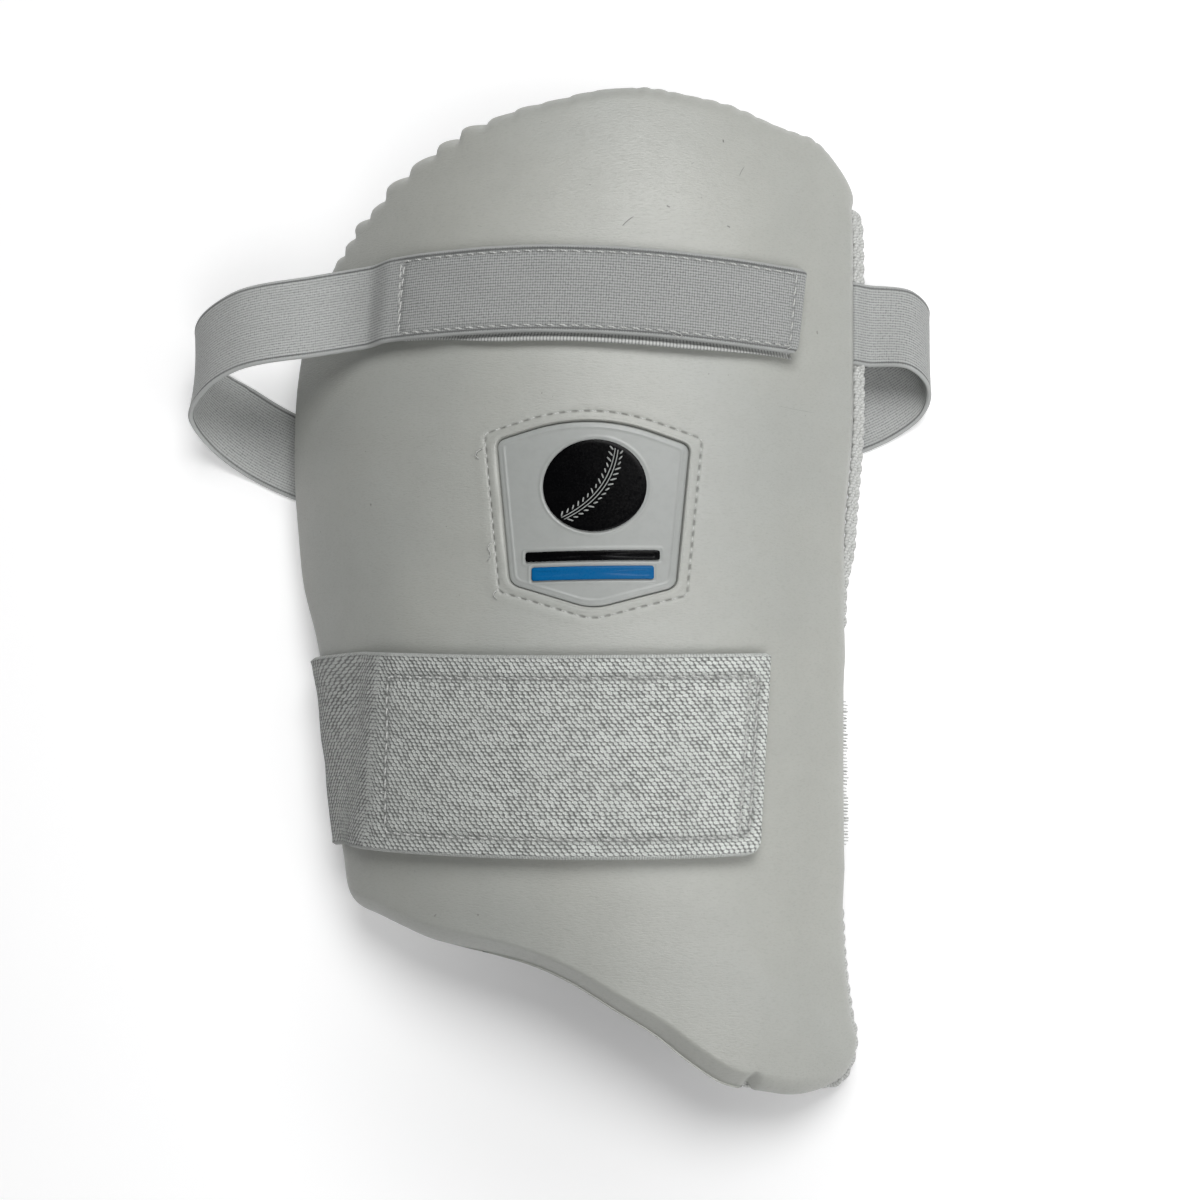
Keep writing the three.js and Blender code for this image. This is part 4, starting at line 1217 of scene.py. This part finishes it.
thigh_us = mix(THIGH_TAPE[0] - 16, THIGH_END, FACE_STEPS)
thigh_keys = [face_row(thigh_middle, thigh_slant, thigh_cols, u, thigh_lift(u)) for u in thigh_us]
thigh_keys += [
    thigh_row(-1, d, n)
    for d, n in (
        (10, swell(10) + thigh_loose + 0.4),
        (3, swell(3) + thigh_loose + 0.5),
        (-1.5, RIM_THICK * 0.8),
        (-3.9, RIM_THICK * 0.4),
        (-SEAM_WIDTH - 1.6, -0.5),
        (-1.5, -7),
    )
]
thigh_keys += [ground_under(-1, 16), ground_under(-1, 34), ground_row(-20), ground_row(30)]
thigh_keys += [ground_under(1, -34), ground_under(1, -12)]
thigh_keys += [
    thigh_row(1, d, n)
    for d, n in (
        (SEAM_WIDTH + 1, -8.5),
        (SEAM_WIDTH + 3.2, -2.8),
        (SEAM_WIDTH + 1.6, thigh_over - 1),
        (SEAM_WIDTH / 2, thigh_over + 0.3),
        (GAP, thigh_over + 0.1),
    )
]
thigh = Band(thigh_keys, THIGH_WIDTH, THIGH_THICK, step=1.1, cols=74)
trimmed(thigh, low=6.0, high=1.6, pull=-1.5)
thigh.aim()
# The stitched box on the thigh strap, in along and across. Its far end is slanted.
half = THIGH_WIDTH / 2
thigh_box = box_line([[4.5, 7.0 - half], [141.8, 7.0 - half], [146.6, half - 8.8], [4.5, half - 8.2]], 2.5)
thigh_second = np.array([[8.0, w] for w in np.linspace(-THIGH_WIDTH / 2 + 8, THIGH_WIDTH / 2 - 9, 80)])
grid = np.meshgrid(thigh.along, thigh.across, indexing="ij")
thigh_groove = np.maximum(groove_of(thigh_box, *grid, 1.1), 0.7 * groove_of(thigh_second, *grid, 0.9))
thigh_wobble = waves(51, 18)
squeeze = waves(52, 9)


def thigh_height(a, w):
    pleats = hill(a - 150, 8) * 0.16 * squeeze(a * 1.6, w * 0.5)
    selvedge = 0.45 * hill(THIGH_WIDTH / 2 - 1.1 - w, 0.9) + 0.25 * hill(w + THIGH_WIDTH / 2 - 1.1, 0.9)
    return -0.75 * thigh_groove + selvedge + 0.16 * thigh_wobble(a, w) + pleats


thigh_strap, thigh_length = thigh.skin(
    "thigh_elastic", THIGH, ["thigh_strap"], thigh_height, thigh_groove, edge=1.2, lip=1.0
)


# Tapes under the strap ends
LOWER_PILE = 4


def tape(name, look, node, middle, slant, ends, sides, low, seed, taper=0.0, lip=0.0):
    """Tape of even thickness over the face, which can taper at its lower side and lift its edge there."""
    u = np.linspace(ends[0], ends[1], int((ends[1] - ends[0]) / 1.6))
    w = np.linspace(sides[0], sides[1], int((sides[1] - sides[0]) / 1.0))
    uu, ww = np.meshgrid(u, w, indexing="ij")
    edge = np.minimum(np.minimum(uu - ends[0], ends[1] - uu), np.minimum(ww - sides[0], sides[1] - ww))
    full = np.minimum(smooth((uu - ends[0]) / 40), mix(0.5, 1, smooth((ends[1] - uu) / 40)))
    ww = ww + taper * (1 - full) * (ww < 0)
    a, b = on_face(middle, slant, uu, ww)
    body = TAPE_THICK / 2 * np.sqrt(np.clip(edge / 0.8, 0.1, 1))
    rough = np.random.default_rng(seed).normal(0, 0.06, body.shape)
    height = face(a, b) + low + TAPE_THICK / 2 + lip * smooth((sides[0] + 3.6 - ww) / 2.8)
    top, under = place(a, b, height + body + rough), place(a, b, height - body)
    rows, cols = uu.shape
    ring = np.concatenate([top, under[:, ::-1]], 1)
    # The pile of the lower side differs from that of the top.
    run = np.stack([uu, ww, 0 * uu], -1)
    run = np.concatenate([run, run[:, ::-1] + (0, 0, LOWER_PILE)], 1)
    piece(name, ring, strip_faces(rows, cols, flip=True), look, [node], run)


tape(
    "waist_loop_tape", LOOP, "waist_loop_patch", waist_middle, waist_slant,
    WAIST_TAPE, (-WAIST_WIDTH / 2 - 2.6, WAIST_WIDTH / 2 + 0.6), LOOP_LOW, seed=61, taper=3.4, lip=2.2,
)
tape(
    "waist_hook_tape", HOOK, "waist_hook_patch", waist_middle, waist_slant,
    (WAIST_TAPE[0] + 2, WAIST_TAPE[1]), (-WAIST_WIDTH / 2 + 2, WAIST_WIDTH / 2 - 2), HOOK_LOW, seed=62,
)
tape(
    "thigh_loop_tape", LOOP, "thigh_loop_patch", thigh_middle, thigh_slant,
    (THIGH_TAPE[0] + 4, THIGH_TAPE[1] - 2), (-THIGH_WIDTH / 2 + 3, THIGH_WIDTH / 2 - 3), LOOP_LOW, seed=63,
)
tape(
    "thigh_hook_tape", HOOK, "thigh_hook_patch", thigh_middle, thigh_slant,
    (THIGH_TAPE[0] + 3, THIGH_TAPE[1]), (-THIGH_WIDTH / 2 + 5, THIGH_WIDTH / 2 - 5), HOOK_LOW, seed=64,
)


# Badge
def badge_skin(name, look, node, rings, low, high, middle, edge=0.25):
    """Closed plate from rings of uv points, outermost first, with a height for each point of its top."""
    outer = rings[0]
    layers = [place(*mix(outer, middle, share).T, PAD_THICK + low) for share in (0.6, 0.25, 0.01)]
    layers.append(place(*outer.T, PAD_THICK + low + edge))
    layers += [place(*ring.T, PAD_THICK + h) for ring, h in zip(rings, high)]
    points, faces = capped(
        np.array(layers),
        place(*middle, PAD_THICK + low)[None],
        place(*middle, PAD_THICK + np.mean(high[-1]))[None],
    )
    piece(name, points, faces, look, [node])


def domed(count, drop, steps):
    """Heights of the top of a motif with count rings, rounded down by drop over the first steps."""
    return [MOTIF_LOW + MOTIF_THICK - drop + drop * math.sqrt(min(1, k / steps)) for k in range(count)]


# Middle, half length and height of each bar
BARS = {
    name: (WINDOW_CENTRE + [0, share * PAD_LENGTH], half, tall)
    for name, share, half, tall in (("black", -0.045, 22, 3.6), ("blue", -0.062, 20, 5.0))
}


def bar_gap(name, u, v):
    """Distance outside a bar."""
    middle, half, tall = BARS[name]
    du = np.abs(u - middle[0]) - half
    dv = np.abs(v - middle[1]) - tall / 2
    return np.hypot(np.maximum(du, 0), np.maximum(dv, 0)) + np.minimum(np.maximum(du, dv), 0)


def plate_height(u, v):
    off = window_side(u, v)
    r = np.hypot(u - ball_middle[0], v - ball_middle[1])
    base = PLATE_LOW + PLATE_THICK - 0.4 * smooth(1 - (-off - GAP) / 0.8) ** 2
    lines = hill(off + 2.3, 0.34) + hill(r - BALL_RADIUS - 1.15, 0.34)
    around_bars = np.minimum(bar_gap("black", u, v), bar_gap("blue", u, v))
    return base + 0.3 * np.clip(lines + hill(around_bars - 1.0, 0.3), 0, 1) - 0.14


plate_rings = [window - window_out * GAP]
plate_rings += [mix(window - window_out * GAP, WINDOW_CENTRE, s) for s in np.linspace(0.006, 0.97, 78)]
heights = [plate_height(*ring.T) for ring in plate_rings]
badge_skin(
    "badge_panel", WHITE, "badge_plate", plate_rings, PLATE_LOW, heights, WINDOW_CENTRE
)

turn = -2 * np.pi * np.arange(120) / 120
disc = np.stack([np.cos(turn), np.sin(turn)], 1)
ball_shares = (1, 0.996, 0.985, 0.965, 0.94, 0.9, 0.8, 0.6, 0.4, 0.2)
ball_rings = [ball_middle + disc * BALL_RADIUS * share for share in ball_shares]
badge_skin(
    "badge_ball_face", BLACK, "badge_ball", ball_rings, MOTIF_LOW,
    domed(len(ball_rings), 0.32, 4), ball_middle,
)

for name, look in (("black", BLACK), ("blue", BLUE)):
    middle, bar_half, tall = BARS[name]
    corners = np.array([[-1, 1], [1, 1], [1, -1], [-1, -1]]) * [bar_half, tall / 2] + middle
    line, _ = rounded(corners, 0.9, 160)
    bar_rings = [mix(line, middle, np.array([s * 0.1, s])) for s in (0, 0.08, 0.2, 0.4, 0.7)]
    badge_skin(
        f"badge_{name}_strip", look, f"badge_{name}_bar", bar_rings, MOTIF_LOW,
        domed(len(bar_rings), 0.3, 2), middle,
    )


# Stitching
def leather_surface(x, y, lift):
    p = on_leather(x, y, lift)
    return p, unit(on_leather(x, y, lift + 1) - p)


round_badge = np.vstack([stitch_line, stitch_line[:1]])
badge_stitches = stitches(
    round_badge, leather_surface, BADGE_PITCH, length=2.3, radius=0.21, rise=0.24, slant=0.25, seed=71,
    jitter=0.02,
)
threads("badge_stitching", [badge_stitches])

fold = np.array([[158.3 + 0.06 * w, w] for w in np.linspace(-WAIST_WIDTH / 2 + 3, WAIST_WIDTH / 2 - 3, 40)])
threads(
    "waist_strap_stitching",
    [
        stitches(waist_box, waist.at, 4.5, length=3.3, radius=0.32, rise=0.55, slant=0.35, seed=72),
        stitches(fold, waist.at, 3.6, length=2.9, radius=0.27, rise=0.45, slant=0.7, seed=73, jitter=0.4),
    ],
)
threads(
    "thigh_strap_stitching",
    [
        stitches(thigh_box, thigh.at, 4.4, length=3.3, radius=0.36, rise=0.42, slant=0.4, seed=74),
        stitches(thigh_second, thigh.at, 4.4, length=3.2, radius=0.34, rise=0.4, slant=0.5, seed=75),
    ],
)

# Overcast threads where the thigh strap is sewn to the right edge, in view beside the leather
OVERCAST = (-90.0, -36.0)
OVERCAST_PITCH = 1.25
OVERCAST_INSIDE = 1.6
OVERCAST_HIGH = 5.5
draw = np.random.default_rng(76)
rows = np.arange(*OVERCAST, OVERCAST_PITCH)
rows = rows + draw.uniform(-0.15, 0.15, len(rows))
ends_short = smooth((rows - OVERCAST[0] + 1) / 4) * smooth((OVERCAST[1] + 1 - rows) / 4)
reach = draw.uniform(1.9, 3.1, len(rows)) * mix(0.6, 1, ends_short)
edge = np.array([side_at(v, 1) for v in rows])
t = np.linspace(-1, 1, 11)
u = edge[:, None] - OVERCAST_INSIDE + (reach[:, None] + OVERCAST_INSIDE) * (1 - t**2) ** 0.6
v = rows[:, None] + draw.uniform(-0.2, 0.35, len(rows))[:, None] * t
points = place(u, v, OVERCAST_HIGH + 1.3 * t)
outward = place(u + 1, v, OVERCAST_HIGH + 1.3 * t) - points
threads("thigh_strap_overcast", [tubes(points, outward, 0.24, 5)])


# A ball's seam on the round motif: two bowed rows of slanted stitches with a pair of lines between them
SEAM_BOW, SEAM_TURN = 5.0, -0.6


def ball_surface(a, b, lift):
    p = place(a, b, PAD_THICK + MOTIF_LOW + MOTIF_THICK + lift)
    return p, unit(place(a, b, PAD_THICK + 1) - place(a, b, PAD_THICK))


def seam_line(offset):
    t = np.linspace(-1, 1, 90)
    x, y = offset + SEAM_BOW * (1 - t**2) - SEAM_BOW / 2, t * BALL_RADIUS
    keep = np.hypot(x, y) < BALL_RADIUS - 0.9
    cos, sin = math.cos(SEAM_TURN), math.sin(SEAM_TURN)
    return np.stack([x * cos - y * sin, x * sin + y * cos], 1)[keep] + ball_middle


parts = []
for offset, slant, seed in ((-1.9, 1.3, 80), (1.9, -1.3, 81)):
    row = seam_line(offset)
    parts.append(
        stitches(row, ball_surface, 2.1, length=1.5, radius=0.3, rise=0.3, slant=slant, seed=seed, jitter=0)
    )
for offset in (-0.55, 0.55):
    line = seam_line(offset)
    points, normal = ball_surface(line[::3, 0], line[::3, 1], np.full(len(line[::3]), -0.02))
    parts.append(tubes(points[None], normal[None], 0.2, 6))
threads("badge_ball_seam", parts, WHITE)

# Loose thread ends
ends = [
    (leather_surface, [(-31.6, 55.6), (-33.0, 54.9), (-33.8, 53.2), (-33.0, 52.0)]),
    (leather_surface, [(-28.2, 21.0), (-29.6, 18.6), (-28.6, 16.2), (-29.8, 13.5)]),
    (leather_surface, [(-26.4, 3.0), (-27.6, 1.0), (-26.6, -0.9)]),
    (waist.at, [(50.0, -14.0), (47.6, -15.2), (48.6, -16.0), (51.0, -15.0)]),
    (waist.at, [(6.0, -12.6), (4.4, -14.8), (5.6, -16.0)]),
]
parts = []
for surface, line in ends:
    path = spline(np.array(line, float), np.linspace(0, len(line) - 1, 24))
    lift = 0.25 + 0.7 * np.sin(np.linspace(0, 2.6, 24)) ** 2
    points, normal = surface(path[:, 0], path[:, 1], lift)
    parts.append(tubes(points[None], normal[None], np.linspace(0.2, 0.12, 24)[None], 5))
threads("loose_threads", parts)

# Floor, light and camera. The floor glows a little, apart from the place where the pad's shadow lies.
FLOOR_GLOW = (0.0, 0.24)
FLOOR_SHADE = (26, -160, 0)
FLOOR_SHADE_REACH = (20, 170)
FLOOR_HALF = 3.0
FLOOR_DOWN = -0.0003


def floor_look():
    s = Shader("floor", Specular_IOR_Level=0.0)
    s.bsdf.inputs["Emission Color"].default_value = (1, 1, 1, 1)
    away = s.node("VectorMath", {0: s.from_point(*FLOOR_SHADE)}, operation="LENGTH").outputs[1]
    s.put(s.ramp(away, *FLOOR_SHADE_REACH, *FLOOR_GLOW), s.bsdf.inputs["Emission Strength"])
    tone = s.noise(s.mm, 0.02, 2.0)
    return s.done(s.blend(tone, (0.94, 0.94, 0.945), (0.95, 0.95, 0.95)), 1.0, s.bump(tone, 0.02, 0.1))


floor_mesh = bpy.data.meshes.new("floor")
corners = [(x * FLOOR_HALF, y * FLOOR_HALF, FLOOR_DOWN) for x, y in ((-1, -1), (1, -1), (1, 1), (-1, 1))]
floor_mesh.from_pydata(corners, [], [[0, 1, 2, 3]])
floor_mesh.materials.append(floor_look())
floor = linked("floor", floor_mesh)


# Place and watts of each light, all of one size and turned to one point
LIGHTS = {
    "top": ((0.30, 0.70, 1.38), 14.8),
    "right_top": ((0.795, 0.459, 1.311), 2.2),
    "right_low": ((1.135, -0.655, 0.918), 4.0),
    "tail_right": ((0.4, -0.693, 1.386), 8.2),
}
LIGHT_SIZE = 0.9
LIGHT_AIM = Vector((0, 0, 0.03))
for name, (at, watts) in LIGHTS.items():
    data = bpy.data.lights.new(name, "AREA")
    data.shape = "DISK"
    data.size = LIGHT_SIZE
    data.energy = watts
    light = linked(name, data)
    light.location = at
    light.rotation_euler = (LIGHT_AIM - Vector(at)).to_track_quat("-Z", "Y").to_euler()

world = bpy.data.worlds.new("studio")
world.use_nodes = True
background = world.node_tree.nodes["Background"]
background.inputs["Color"].default_value = (1, 1, 1, 1)
background.inputs["Strength"].default_value = 0.015
bpy.context.scene.world = world
bpy.context.scene.view_settings.view_transform = "Standard"
bpy.context.scene.view_settings.look = "None"

CAMERA_AWAY = 0.7
CAMERA_LENS = 56.0
CAMERA_TARGET = np.array([6.0, 0.0, 50.0])
side_tilt, tail_tilt = math.radians(7), math.radians(9.5)
level = math.cos(tail_tilt)
back = Vector((math.sin(side_tilt) * level, -math.sin(tail_tilt), math.cos(side_tilt) * level))
target = Vector((CAMERA_TARGET + SHIFT) * MM)
up = (Vector((0, 1, 0)) - back * back.y).normalized()
right = up.cross(back)
camera_data = bpy.data.cameras.new("camera")
camera_data.lens = CAMERA_LENS
camera_data.sensor_width = 36
camera_data.dof.use_dof = False
camera = linked("camera", camera_data)
turned = Matrix((right, up, back)).transposed().to_4x4()
camera.matrix_world = Matrix.Translation(target + back * CAMERA_AWAY) @ turned
bpy.context.scene.camera = camera
